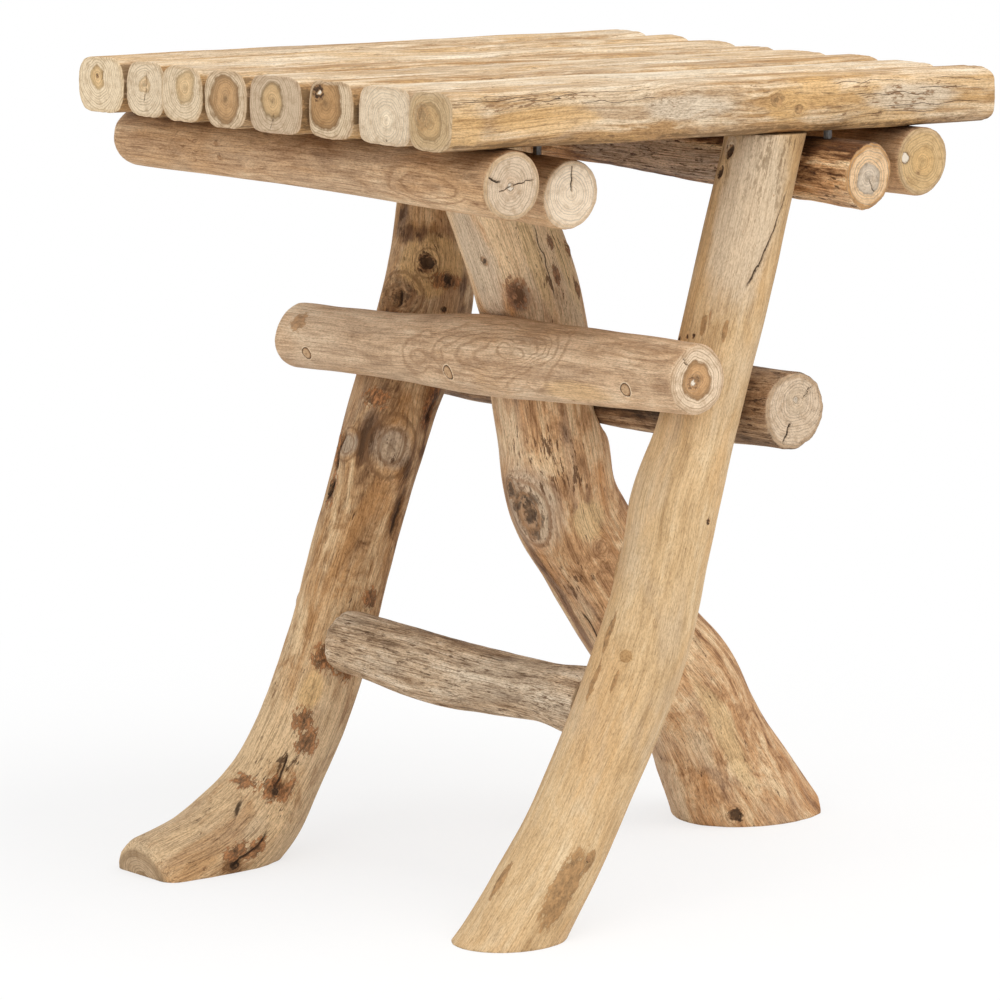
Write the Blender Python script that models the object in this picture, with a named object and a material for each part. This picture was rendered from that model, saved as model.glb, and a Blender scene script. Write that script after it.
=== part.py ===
"""A three-legged stool of peeled branch wood.

Eight squared slats lie on two outer bearers. Two inner bearers are screwed to the tops of the legs.
The front and back legs lean one way and the middle leg leans the other way, so that they cross at
one height, where two cross rails clamp all three. A lower stretcher joins the front and back legs.
Lengths are in metres. +Z is up, +X runs along the slats and +Y towards the back of the stool.
"""

import math

import bmesh
import bpy
from mathutils import Vector

# Seat
SEAT_HEIGHT = 0.450
SLAT_THICKNESS = 0.030
SLAT_GAP = 0.002
SLAT_CORNER = 0.0105
SLAT_END_ROUND = 0.004
SLAT_EDGE_WAVE = 0.0006
SLAT_WAVE_TURN = 2.3
# From the back slat to the front slat
SLAT_WIDTHS = (0.043, 0.036, 0.039, 0.0375, 0.046, 0.0385, 0.043, 0.036)
SLAT_LEFT_ENDS = (0.191, 0.190, 0.1935, 0.194, 0.193, 0.190, 0.1885, 0.191)
SLAT_RIGHT_ENDS = (0.190, 0.190, 0.192, 0.186, 0.183, 0.184, 0.182, 0.190)
# How much thicker each slat is at its right end
SLAT_RISES = (0.003, 0.0025, 0.0012, 0.0006, 0.0005, 0.001, 0.0, 0.0)
# The front slat swells round a knot in its right half
FRONT_KNOT_X = 0.095
FRONT_KNOT_HALF_LENGTH = 0.060
FRONT_KNOT_SWELL = 0.003

# Joints between branches
FIT_GAP = 0.0003
SADDLE_BITE = 0.002
SOCKET_DEPTH = 0.004

# Leg centre lines from the top down: x, y, z and radius. Each top meets the slats' underside.
LEG_BACK_LINE = (
    (0.033, 0.116, 0.420, 0.0230),
    (0.023, 0.116, 0.370, 0.0230),
    (0.0195, 0.116, 0.328, 0.0245),
    (0.013, 0.1155, 0.295, 0.0268),
    (-0.009, 0.114, 0.249, 0.0254),
    (-0.036, 0.109, 0.182, 0.0238),
    (-0.063, 0.104, 0.116, 0.0240),
    (-0.084, 0.100, 0.073, 0.0245),
    (-0.106, 0.098, 0.0415, 0.0254),
    (-0.127, 0.0965, 0.020, 0.0288),
    (-0.156, 0.0955, 0.003, 0.0292),
    (-0.196, 0.0945, -0.0085, 0.0275),
)
LEG_MIDDLE_LINE = (
    (-0.056, -0.010, 0.420, 0.0290),
    (-0.030, -0.008, 0.368, 0.0290),
    (-0.009, -0.004, 0.325, 0.0300),
    (0.0045, 0.000, 0.286, 0.0315),
    (0.018, 0.003, 0.237, 0.0325),
    (0.028, 0.006, 0.201, 0.0325),
    (0.0505, 0.007, 0.1695, 0.0318),
    (0.090, 0.010, 0.119, 0.0325),
    (0.123, 0.011, 0.085, 0.0355),
    (0.1405, 0.012, 0.058, 0.0338),
    (0.158, 0.014, 0.030, 0.0380),
    (0.193, 0.016, -0.015, 0.0405),
)
LEG_FRONT_LINE = (
    (0.040, -0.146, 0.420, 0.0215),
    (0.022, -0.1475, 0.363, 0.0222),
    (0.005, -0.146, 0.300, 0.0222),
    (-0.007, -0.1445, 0.257, 0.0222),
    (-0.0185, -0.144, 0.226, 0.0248),
    (-0.024, -0.143, 0.197, 0.0236),
    (-0.042, -0.141, 0.137, 0.0262),
    (-0.0705, -0.139, 0.080, 0.0250),
    (-0.0945, -0.138, 0.039, 0.0254),
    (-0.136, -0.136, -0.018, 0.0266),
)

# Outer bearers from the front end to the back end: x, y and radius
OUTER_LEFT_LINE = (
    (-0.149, -0.163, 0.0190),
    (-0.149, -0.070, 0.0178),
    (-0.150, 0.060, 0.0172),
    (-0.150, 0.172, 0.0172),
)
OUTER_RIGHT_LINE = (
    (0.134, -0.168, 0.0192),
    (0.1345, -0.050, 0.0186),
    (0.135, 0.070, 0.0178),
    (0.135, 0.172, 0.0172),
)
BEARER_FLAT = 0.001

# Inner bearers from the front end to the back end: y, radius and drop below the slats
INNER_LEFT_LINE = (
    (-0.145, 0.0188, 0.0080),
    (-0.010, 0.0182, 0.0045),
    (0.168, 0.0172, 0.0010),
)
INNER_RIGHT_LINE = (
    (-0.190, 0.0178, 0.0045),
    (-0.075, 0.0164, 0.0030),
    (0.030, 0.0150, 0.0010),
    (0.166, 0.0142, 0.0010),
)

# Cross rails from the front end to the back end: y, z and radius
RAIL_LEFT_LINE = (
    (-0.181, 0.296, 0.0190),
    (-0.110, 0.294, 0.0208),
    (-0.010, 0.290, 0.0226),
    (0.090, 0.286, 0.0186),
    (0.162, 0.2835, 0.0197),
)
RAIL_RIGHT_LINE = (
    (-0.172, 0.272, 0.0210),
    (-0.060, 0.269, 0.0220),
    (0.070, 0.266, 0.0216),
    (0.168, 0.266, 0.0200),
)

# Lower stretcher, from the front leg to the back leg
STRETCHER_FRONT_HEIGHT = 0.1145
STRETCHER_BACK_HEIGHT = 0.1205
STRETCHER_BACK_SHIFT = 0.007
STRETCHER_SAG = 0.004
STRETCHER_FLARE_RADIUS = 0.0200
STRETCHER_FLARE_LENGTH = 0.022
STRETCHER_FRONT_RADIUS = 0.0162
STRETCHER_MIDDLE_RADIUS = 0.0190
STRETCHER_BACK_RADIUS = 0.0172

# Sawn branch ends, worn ones and those hidden in a joint
SAWN_ROUND = 0.0025
WORN_ROUND = 0.008
HIDDEN_ROUND = 0.0005

# Screws and the wooden plugs that hide their heads
SHANK_DIAMETER = 0.0045
HEAD_DIAMETER = 0.0076
SCREW_POINT = 0.007
PLUG_DIAMETER = 0.008
PLUG_LENGTH = 0.008
# How far a hole's cutter runs on past the surface
MOUTH_SPARE = 0.009
RAIL_SCREW_LENGTH = 0.060
RAIL_SCREW_TILT = math.radians(20)
# How far behind its leg each rail screw starts
RAIL_SCREW_SHIFTS = {"back": 0.014, "middle": 0.0, "front": 0.0}
BEARER_SCREW_LENGTH = 0.055
BEARER_SCREW_SINK = 0.003
SLAT_SCREW_LENGTH = 0.050
SLAT_SCREW_BITE = 0.018
INNER_SCREW_SHIFT = 0.010
INNER_SCREW_SLATS = {"left_inner": (2, 7), "right_inner": (1, 8)}
STRETCHER_SCREW_LENGTH = 0.075
STRETCHER_SCREW_REACH = 0.020
STRETCHER_PLUG_RISE = 0.033
STRETCHER_PLUG_TURN = math.radians(58)

# Faceting
LEG_SIDES = 18
LEG_RING_STEP = 0.017
LOG_SIDES = 14
LOG_RING_STEP = 0.038
SLAT_CORNER_STEPS = 3
SLAT_RINGS = 7
END_STEPS = 2
SCREW_SIDES = 8
SHARP_ANGLE = math.radians(40)

# Fineness of the searches along a centre line
SLOPE_SHARE = 0.005
HALVINGS = 40
CONTACT_ROUNDS = 3
TRIM_TOLERANCE = 1e-7

# Branches aren't quite round: share of the radius in a two-lobed and a three-lobed wave,
# which start at a different turn on each
OVAL_SHARE = 0.03
LOBE_SHARE = 0.015
PHASES = {
    "leg_back": 0.4,
    "leg_middle": 1.3,
    "leg_front": 2.2,
    "cross_rail_left": 0.7,
    "cross_rail_right": 1.9,
    "bearer_left_outer": 0.2,
    "bearer_left_inner": 1.1,
    "bearer_right_inner": 2.6,
    "bearer_right_outer": 2.0,
    "lower_stretcher": 0.9,
}

# Colours, roughness and metal
SLAT_COLOUR = (0.66, 0.47, 0.28)
BEARER_COLOUR = (0.55, 0.36, 0.19)
RAIL_COLOUR = (0.50, 0.33, 0.18)
LEG_BACK_COLOUR = (0.40, 0.25, 0.13)
LEG_MIDDLE_COLOUR = (0.48, 0.31, 0.17)
LEG_FRONT_COLOUR = (0.66, 0.46, 0.25)
STRETCHER_COLOUR = (0.44, 0.31, 0.19)
PLUG_COLOUR = (0.45, 0.26, 0.11)
STEEL_COLOUR = (0.55, 0.55, 0.56)
WOOD_ROUGHNESS = 0.75
STEEL_ROUGHNESS = 0.35

UNDERSIDE = SEAT_HEIGHT - SLAT_THICKNESS
REST_HEIGHT = UNDERSIDE - FIT_GAP
X_AXIS = Vector((1, 0, 0))
Y_AXIS = Vector((0, 1, 0))
Z_AXIS = Vector((0, 0, 1))


class Branch:
    """A smooth centre line through stations of x, y, z and radius."""

    def __init__(self, stations, phase):
        self.points = [Vector(station) for station in stations]
        self.phase = phase
        self.marks = [0.0]
        for before, after in zip(self.points, self.points[1:]):
            self.marks.append(self.marks[-1] + (after - before).to_3d().length)
        self.length = self.marks[-1]
        last = len(self.points) - 1
        self.slopes = []
        for index in range(len(self.points)):
            low = max(index - 1, 0)
            high = min(index + 1, last)
            run = self.marks[high] - self.marks[low]
            self.slopes.append((self.points[high] - self.points[low]) / run)

    def at(self, distance):
        """Centre and radius at a distance along the line, which runs on straight past its ends."""
        if distance <= 0:
            return self.points[0] + self.end_slope(0) * distance
        if distance >= self.length:
            return self.points[-1] + self.end_slope(-1) * (distance - self.length)
        index = max(i for i, mark in enumerate(self.marks[:-1]) if mark <= distance)
        run = self.marks[index + 1] - self.marks[index]
        t = (distance - self.marks[index]) / run
        start = self.points[index] * (1 + 2 * t) * (1 - t) ** 2
        end = self.points[index + 1] * t * t * (3 - 2 * t)
        leave = self.slopes[index] * run * t * (1 - t) ** 2
        arrive = self.slopes[index + 1] * run * t * t * (t - 1)
        return start + end + leave + arrive

    def end_slope(self, index):
        """Direction of the line at an end, with the radius held."""
        slope = self.slopes[index].copy()
        slope[3] = 0
        return slope

    def centre(self, distance):
        return self.at(distance).to_3d()

    def direction(self, distance):
        step = self.length * SLOPE_SHARE
        return (self.centre(distance + step) - self.centre(distance - step)).normalized()

    def crossing(self, axis, value):
        """Distance at which the line reaches a value of x, y or z, by halving."""
        low, high = 0.0, self.length
        rising = self.points[-1][axis] > self.points[0][axis]
        for _ in range(HALVINGS):
            middle = (low + high) / 2
            if (self.at(middle)[axis] < value) == rising:
                low = middle
            else:
                high = middle
        return (low + high) / 2


def new_object(name, bm, origin, root):
    """An object from a mesh in stool coordinates, with its own origin, under the root empty."""
    bmesh.ops.recalc_face_normals(bm, faces=bm.faces)
    bmesh.ops.translate(bm, verts=bm.verts, vec=-origin)
    mesh = bpy.data.meshes.new(name)
    bm.to_mesh(mesh)
    bm.free()
    obj = bpy.data.objects.new(name, mesh)
    obj.location = origin
    obj.parent = root
    bpy.context.scene.collection.objects.link(obj)
    return obj


def finish(obj, colour, roughness=WOOD_ROUGHNESS, metallic=0.0):
    """A material of the piece's own, and smooth shading over its round stretches."""
    material = bpy.data.materials.new(obj.name)
    material.use_nodes = True
    shader = material.node_tree.nodes["Principled BSDF"]
    shader.inputs["Base Color"].default_value = (*colour, 1)
    shader.inputs["Roughness"].default_value = roughness
    shader.inputs["Metallic"].default_value = metallic
    obj.data.materials.append(material)
    obj.data.shade_smooth()
    obj.data.set_sharp_from_angle(angle=SHARP_ANGLE)
    return obj


def as_helper(obj):
    obj.hide_render = True
    obj.display_type = "WIRE"
    return obj


def boolean(obj, other, operation="DIFFERENCE"):
    modifier = obj.modifiers.new(other.name, "BOOLEAN")
    modifier.operation = operation
    modifier.object = other
    modifier.solver = "EXACT"


def skin(bm, rings):
    """Walls between rings of points, and a flat face on each end."""
    loops = [[bm.verts.new(point) for point in ring] for ring in rings]
    for before, after in zip(loops, loops[1:]):
        for i in range(len(before)):
            j = (i + 1) % len(before)
            bm.faces.new((before[i], before[j], after[j], after[i]))
    bm.faces.new(loops[0])
    bm.faces.new(loops[-1])


def end_rounding(round_front, round_back, length):
    """Distances and inward steps of the rings that round the two ends of a piece."""
    turns = [math.pi / 2 * step / END_STEPS for step in range(END_STEPS, 0, -1)]
    front = [(round_front * (1 - math.sin(a)), round_front * (1 - math.cos(a))) for a in turns]
    back = [
        (length - round_back * (1 - math.sin(a)), round_back * (1 - math.cos(a)))
        for a in reversed(turns)
    ]
    return front, back


def branch_rings(branch, sides, ring_step, rounds, grow):
    """Rings of points square to the branch, swollen by grow, its ends rounded."""
    front, back = end_rounding(*rounds, branch.length)
    run = branch.length - sum(rounds)
    count = math.ceil(run / ring_step)
    body = [(rounds[0] + run * i / count, 0.0) for i in range(count + 1)]
    stations = front + body + back
    lie = branch.direction(branch.length / 2)
    side_axis = Y_AXIS if abs(lie.y) < abs(lie.z) else Z_AXIS
    rings = []
    for distance, inward in stations:
        along = branch.direction(distance)
        across = side_axis.cross(along).normalized()
        up = along.cross(across)
        reach = distance + grow * (distance / branch.length * 2 - 1)
        x, y, z, radius = branch.at(reach)
        ring = []
        for i in range(sides):
            turn = 2 * math.pi * i / sides
            wave = OVAL_SHARE * math.cos(2 * turn + branch.phase)
            wave += LOBE_SHARE * math.cos(3 * turn + 2 * branch.phase)
            size = radius * (1 + wave) - inward + grow
            ring.append(Vector((x, y, z)) + (across * math.cos(turn) + up * math.sin(turn)) * size)
        rings.append(ring)
    return rings


def trim(bm, height, keep_below):
    """Saws a mesh off level at a height and closes the cut."""
    cut = bmesh.ops.bisect_plane(
        bm,
        geom=bm.verts[:] + bm.edges[:] + bm.faces[:],
        dist=TRIM_TOLERANCE,
        plane_co=(0, 0, height),
        plane_no=Z_AXIS if keep_below else -Z_AXIS,
        clear_outer=True,
    )
    edges = [item for item in cut["geom_cut"] if isinstance(item, bmesh.types.BMEdge)]
    bmesh.ops.contextual_create(bm, geom=edges)


def log(name, branch, root, rounds=(SAWN_ROUND, SAWN_ROUND), grow=0.0, top=None):
    """A straight or bowed branch, with its upper side planed off level at top where given."""
    bm = bmesh.new()
    skin(bm, branch_rings(branch, LOG_SIDES, LOG_RING_STEP, rounds, grow))
    if top is not None:
        trim(bm, top, keep_below=True)
    return new_object(name, bm, branch.centre(branch.length / 2), root)


def leg(name, branch, root):
    """A bent branch, sawn level under the seat and at the floor."""
    bm = bmesh.new()
    skin(bm, branch_rings(branch, LEG_SIDES, LEG_RING_STEP, (HIDDEN_ROUND, SAWN_ROUND), 0.0))
    trim(bm, REST_HEIGHT, keep_below=True)
    trim(bm, 0.0, keep_below=False)
    return new_object(name, bm, branch.centre(branch.length / 2), root)


def leg_branch(line, phase):
    """A leg's line with its heights stretched so that its top passes the slats' underside."""
    stretch = UNDERSIDE / line[0][2]
    stations = [(x, y, z * stretch, radius) for x, y, z, radius in line]
    branch = Branch(stations, phase)
    x, y, z, radius = branch.at(-SLAT_THICKNESS)
    return Branch([(x, y, z, radius)] + stations, phase)


def beside(leg_line, height, radius, side):
    """The x of a log that lies along Y at a height and bites a little into a leg's left or right side."""
    distance = leg_line.crossing(2, height)
    x, _, _, leg_radius = leg_line.at(distance)
    upright = abs(leg_line.direction(distance).z)
    return x + side * (leg_radius + radius - SADDLE_BITE) / upright


def at_y(line, y):
    """The values of a line of stations at y, which comes first in each, between its stations."""
    before, after = line[0], line[1]
    for low, high in zip(line, line[1:]):
        if low[0] <= y:
            before, after = low, high
    share = (y - before[0]) / (after[0] - before[0])
    return [a + (b - a) * share for a, b in zip(before, after)]


def rail_stations(line, legs, side):
    """A log along Y against one side of the front and back legs, from stations of y, z and radius."""
    contacts = []
    for leg_line in legs:
        height = line[0][1]
        for _ in range(CONTACT_ROUNDS):
            y = leg_line.at(leg_line.crossing(2, height)).y
            _, height, radius = at_y(line, y)
        contacts.append((beside(leg_line, height, radius, side), y))
    (x_front, y_front), (x_back, y_back) = contacts
    slope = (x_back - x_front) / (y_back - y_front)
    return [(x_front + slope * (y - y_front), y, z, r) for y, z, r in line]


def inner_line(line):
    """Stations of y, z and radius for a bearer that hangs below the slats."""
    return [(y, REST_HEIGHT - drop - radius, radius) for y, radius, drop in line]


def left_inner_stations(middle_leg):
    """The left inner bearer runs straight back along the left side of the middle leg."""
    line = inner_line(INNER_LEFT_LINE)
    leg_y = middle_leg.at(middle_leg.crossing(2, line[0][1])).y
    _, height, radius = at_y(line, leg_y)
    x = beside(middle_leg, height, radius, -1)
    return [(x, y, z, r) for y, z, r in line]


def outer_stations(line):
    """An outer bearer's planed upper side meets the slats, so its centre follows its radius."""
    return [(x, y, REST_HEIGHT - r + BEARER_FLAT, r) for x, y, r in line]


def stretcher_stations(front_leg, back_leg):
    """From a shallow socket in the front leg, where it flares, to one in the back leg."""
    ends = []
    for leg_line, height, side, shift in (
        (front_leg, STRETCHER_FRONT_HEIGHT, 1, 0.0),
        (back_leg, STRETCHER_BACK_HEIGHT, -1, STRETCHER_BACK_SHIFT),
    ):
        x, y, z, radius = leg_line.at(leg_line.crossing(2, height))
        ends.append(Vector((x - shift, y + side * (radius - SOCKET_DEPTH), z)))
    front, back = ends
    along = (back - front).normalized()
    neck = front + along * STRETCHER_FLARE_LENGTH
    middle = (neck + back) / 2 - Z_AXIS * STRETCHER_SAG
    return [
        (*front, STRETCHER_FLARE_RADIUS),
        (*neck, STRETCHER_FRONT_RADIUS),
        (*middle, STRETCHER_MIDDLE_RADIUS),
        (*back, STRETCHER_BACK_RADIUS),
    ]


def slat_section(half_width, half_height, corner):
    """A rectangle with round corners, as pairs across the slat and up."""
    points = []
    for quarter in range(4):
        across = (half_width - corner) * (1 if quarter in (0, 3) else -1)
        up = (half_height - corner) * (1 if quarter in (0, 1) else -1)
        for step in range(SLAT_CORNER_STEPS + 1):
            turn = math.pi / 2 * (quarter + step / SLAT_CORNER_STEPS)
            points.append((across + corner * math.cos(turn), up + corner * math.sin(turn)))
    return points


def slat_mesh(index, y_centre):
    """A squared branch with wavy sides and rounded ends. The front one swells round its knot."""
    left, right = -SLAT_LEFT_ENDS[index], SLAT_RIGHT_ENDS[index]
    length = right - left
    front, back = end_rounding(SLAT_END_ROUND, SLAT_END_ROUND, length)
    run = length - 2 * SLAT_END_ROUND
    body = [(SLAT_END_ROUND + run * i / SLAT_RINGS, 0.0) for i in range(SLAT_RINGS + 1)]
    in_front = index == len(SLAT_WIDTHS) - 1
    rings = []
    for distance, inward in front + body + back:
        x = left + distance
        wave = SLAT_EDGE_WAVE * math.sin(2 * math.pi * distance / length + SLAT_WAVE_TURN * index)
        swell = 0.0
        if in_front:
            swell = FRONT_KNOT_SWELL * math.exp(-(((x - FRONT_KNOT_X) / FRONT_KNOT_HALF_LENGTH) ** 2))
        half_width = SLAT_WIDTHS[index] / 2 + (wave + swell) / 2 - inward
        half_height = (SLAT_THICKNESS + SLAT_RISES[index] * distance / length) / 2
        corner = SLAT_CORNER - inward
        y = y_centre - (wave + swell) / 2
        z = UNDERSIDE + half_height
        section = slat_section(half_width, half_height - inward, corner)
        rings.append([Vector((x, y + across, z + up)) for across, up in section])
    bm = bmesh.new()
    skin(bm, rings)
    return bm


def slat_centres():
    """The y of each slat's middle, from the back, with the seat centred on y = 0."""
    depth = sum(SLAT_WIDTHS) + SLAT_GAP * (len(SLAT_WIDTHS) - 1)
    edge = depth / 2
    centres = []
    for width in SLAT_WIDTHS:
        centres.append(edge - width / 2)
        edge -= width + SLAT_GAP
    return centres


def lathe(name, profile, sides, start, drive, root):
    """A turned piece: radii against distances along drive, from a point on the axis to another."""
    bm = bmesh.new()
    loops = []
    for radius, along in profile:
        turns = [2 * math.pi * i / sides for i in range(sides)] if radius else [0.0]
        loops.append(
            [bm.verts.new((radius * math.cos(a), radius * math.sin(a), along)) for a in turns]
        )
    for before, after in zip(loops, loops[1:]):
        for i in range(sides):
            corners = [
                before[i % len(before)],
                before[(i + 1) % len(before)],
                after[(i + 1) % len(after)],
                after[i % len(after)],
            ]
            bm.faces.new(dict.fromkeys(corners))
    obj = new_object(name, bm, Vector((0, 0, 0)), root)
    obj.location = start
    obj.rotation_euler = drive.to_track_quat("Z", "Y").to_euler()
    return obj


def screw(name, start, drive, length, hosts, root, mouth, plug_name=None, plug_host=None):
    """A countersunk screw whose head starts at a point, its hole in each host, and a plug over it.

    The hole runs on for mouth above the head, so that it opens through the host's surface. The plug
    is pared flush with the plain branch that it fills.
    """
    head = HEAD_DIAMETER / 2
    shank = SHANK_DIAMETER / 2
    bore = PLUG_DIAMETER / 2
    cone = head - shank
    ease = FIT_GAP * (math.sqrt(2) - 1)
    profile = ((0, 0), (head, 0), (shank, cone), (shank, length - SCREW_POINT), (0, length))
    finish(lathe(name, profile, SCREW_SIDES, start, drive, root), STEEL_COLOUR, STEEL_ROUGHNESS, 1.0)
    hole_profile = (
        (0, -mouth),
        (bore + FIT_GAP, -mouth),
        (bore + FIT_GAP, 0),
        (head + FIT_GAP, ease),
        (shank + FIT_GAP, cone + ease),
        (shank + FIT_GAP, length - SCREW_POINT + FIT_GAP),
        (0, length + SCREW_POINT * FIT_GAP / shank),
    )
    hole = as_helper(lathe(name + "_hole", hole_profile, SCREW_SIDES, start, drive, root))
    for host in hosts:
        boolean(host, hole)
    if plug_name:
        plug_profile = ((0, -mouth), (bore, -mouth), (bore, -FIT_GAP), (0, -FIT_GAP))
        plug = lathe(plug_name, plug_profile, SCREW_SIDES, start, drive, root)
        boolean(plug, plug_host, "INTERSECT")
        finish(plug, PLUG_COLOUR)


def build_seat(root):
    slats = []
    for index, y in enumerate(slat_centres()):
        origin = Vector((0, y, SEAT_HEIGHT - SLAT_THICKNESS / 2))
        slat = new_object(f"seat_slat_{index + 1}", slat_mesh(index, y), origin, root)
        slats.append(finish(slat, SLAT_COLOUR))
    return slats


def rail_screws(side_name, rail, rail_piece, plain, legs, leg_pieces, root):
    """A plugged screw, tilted up a little, through a rail into the middle of each leg."""
    for leg_name, leg_line in legs.items():
        aim = leg_line.centre(leg_line.crossing(2, rail.centre(rail.length / 2).z))
        x, y, z, radius = rail.at(rail.crossing(1, aim.y + RAIL_SCREW_SHIFTS[leg_name]))
        level = Vector((aim.x - x, aim.y - y, 0)).normalized()
        drive = level * math.cos(RAIL_SCREW_TILT) + Z_AXIS * math.sin(RAIL_SCREW_TILT)
        start = Vector((x, y, z)) - drive * (radius - PLUG_LENGTH)
        screw(
            f"rail_screw_{side_name}_{leg_name}",
            start,
            drive,
            RAIL_SCREW_LENGTH,
            (rail_piece, leg_pieces[leg_name]),
            root,
            PLUG_LENGTH + MOUTH_SPARE,
            f"rail_plug_{side_name}_{leg_name}",
            plain,
        )


def bearer_screw(leg_name, bearer, bearer_piece, leg_line, leg_piece, drive, root):
    """A screw through an inner bearer into a leg's top."""
    y = leg_line.at(leg_line.crossing(2, bearer.centre(bearer.length / 2).z)).y
    x, y, z, radius = bearer.at(bearer.crossing(1, y))
    start = Vector((x, y, z)) - drive * (radius - BEARER_SCREW_SINK)
    hosts = (bearer_piece, leg_piece)
    mouth = BEARER_SCREW_SINK + MOUTH_SPARE
    screw(f"bearer_screw_{leg_name}", start, drive, BEARER_SCREW_LENGTH, hosts, root, mouth)


def slat_screw(name, bearer, bearer_piece, slat_piece, y, root):
    """A screw driven up through a bearer into a slat."""
    x, y, z, radius = bearer.at(bearer.crossing(1, y))
    start = Vector((x, y, UNDERSIDE + SLAT_SCREW_BITE - SLAT_SCREW_LENGTH))
    mouth = start.z - z + radius + MOUTH_SPARE
    screw(name, start, Z_AXIS, SLAT_SCREW_LENGTH, (bearer_piece, slat_piece), root, mouth)


def stretcher_screws(stretcher, stretcher_piece, legs, leg_pieces, plain, root):
    """One screw runs straight through the back leg, and one slants down through the front leg."""
    aim = stretcher.centre(stretcher.length - STRETCHER_SCREW_REACH)
    line = legs["back"]
    _, y, _, radius = line.at(line.crossing(2, aim.z))
    back_start = Vector((aim.x, y + radius - PLUG_LENGTH, aim.z))
    starts = {"back": (back_start, -Y_AXIS)}
    aim = stretcher.centre(STRETCHER_SCREW_REACH)
    line = legs["front"]
    distance = line.crossing(2, aim.z + STRETCHER_PLUG_RISE)
    x, y, z, radius = line.at(distance)
    out = Vector((-math.sin(STRETCHER_PLUG_TURN), -math.cos(STRETCHER_PLUG_TURN), 0))
    surface = Vector((x, y, z)) + out * radius
    drive = (aim - surface).normalized()
    starts["front"] = (surface + drive * PLUG_LENGTH, drive)
    for leg_name, (start, drive) in starts.items():
        screw(
            f"stretcher_screw_{leg_name}",
            start,
            drive,
            STRETCHER_SCREW_LENGTH,
            (stretcher_piece, leg_pieces[leg_name]),
            root,
            PLUG_LENGTH + MOUTH_SPARE,
            f"stretcher_plug_{leg_name}",
            plain[leg_name],
        )


def centre_on_floor(root):
    """Moves the stool so that its box is centred over the origin, with its soles at z = 0."""
    bpy.context.view_layer.update()
    pieces = [obj for obj in root.children if not obj.hide_render]
    corners = [obj.matrix_world @ vertex.co for obj in pieces for vertex in obj.data.vertices]
    for axis in (0, 1):
        values = [corner[axis] for corner in corners]
        root.location[axis] = -(min(values) + max(values)) / 2


def main():
    for obj in list(bpy.data.objects):
        bpy.data.objects.remove(obj, do_unlink=True)
    root = bpy.data.objects.new("stool", None)
    bpy.context.scene.collection.objects.link(root)

    legs = {
        "back": leg_branch(LEG_BACK_LINE, PHASES["leg_back"]),
        "middle": leg_branch(LEG_MIDDLE_LINE, PHASES["leg_middle"]),
        "front": leg_branch(LEG_FRONT_LINE, PHASES["leg_front"]),
    }
    colours = {"back": LEG_BACK_COLOUR, "middle": LEG_MIDDLE_COLOUR, "front": LEG_FRONT_COLOUR}
    leg_pieces = {
        name: finish(leg(f"leg_{name}", line, root), colours[name]) for name, line in legs.items()
    }
    plain_legs = {
        name: as_helper(leg(f"leg_{name}_plain", line, root))
        for name, line in legs.items()
        if name != "middle"
    }

    outer = (legs["front"], legs["back"])
    stations = {
        "cross_rail_left": rail_stations(RAIL_LEFT_LINE, outer, -1),
        "cross_rail_right": rail_stations(RAIL_RIGHT_LINE, outer, 1),
        "bearer_left_outer": outer_stations(OUTER_LEFT_LINE),
        "bearer_left_inner": left_inner_stations(legs["middle"]),
        "bearer_right_inner": rail_stations(inner_line(INNER_RIGHT_LINE), outer, 1),
        "bearer_right_outer": outer_stations(OUTER_RIGHT_LINE),
        "lower_stretcher": stretcher_stations(*outer),
    }
    branches = {name: Branch(line, PHASES[name]) for name, line in stations.items()}
    rounds = {
        "bearer_left_outer": (SAWN_ROUND, WORN_ROUND),
        "lower_stretcher": (HIDDEN_ROUND, WORN_ROUND),
    }
    tops = {"bearer_left_outer": REST_HEIGHT, "bearer_right_outer": REST_HEIGHT}
    paints = {
        "cross_rail_left": RAIL_COLOUR,
        "cross_rail_right": RAIL_COLOUR,
        "lower_stretcher": STRETCHER_COLOUR,
    }
    pieces = {}
    for name, branch in branches.items():
        ends = rounds.get(name, (SAWN_ROUND, SAWN_ROUND))
        piece = log(name, branch, root, ends, top=tops.get(name))
        pieces[name] = finish(piece, paints.get(name, BEARER_COLOUR))

    saddles = {
        "cross_rail_left": ("back", "middle", "front"),
        "cross_rail_right": ("back", "middle", "front"),
        "bearer_left_inner": ("middle",),
        "bearer_right_inner": ("back", "front"),
        "lower_stretcher": ("back", "front"),
    }
    for name, leg_names in saddles.items():
        ends = rounds.get(name, (SAWN_ROUND, SAWN_ROUND))
        cutter = as_helper(log(name + "_saddle", branches[name], root, ends, grow=FIT_GAP))
        for leg_name in leg_names:
            boolean(leg_pieces[leg_name], cutter)

    for side_name in ("left", "right"):
        name = f"cross_rail_{side_name}"
        plain = as_helper(log(name + "_plain", branches[name], root))
        rail_screws(side_name, branches[name], pieces[name], plain, legs, leg_pieces, root)

    for leg_name, side_name, drive in (
        ("middle", "left", X_AXIS),
        ("back", "right", -X_AXIS),
        ("front", "right", -X_AXIS),
    ):
        name = f"bearer_{side_name}_inner"
        bearer_screw(
            leg_name, branches[name], pieces[name], legs[leg_name], leg_pieces[leg_name], drive, root
        )

    stretcher = branches["lower_stretcher"]
    stretcher_screws(stretcher, pieces["lower_stretcher"], legs, leg_pieces, plain_legs, root)

    slats = build_seat(root)
    for number, (slat, y) in enumerate(zip(slats, slat_centres()), start=1):
        places = {"left_outer": y, "right_outer": y}
        for side, numbers in INNER_SCREW_SLATS.items():
            if number in numbers:
                places[side] = y + math.copysign(INNER_SCREW_SHIFT, y)
        for side, screw_y in places.items():
            bearer = f"bearer_{side}"
            name = f"slat_screw_{side}_{number}"
            slat_screw(name, branches[bearer], pieces[bearer], slat, screw_y, root)

    centre_on_floor(root)


main()
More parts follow.
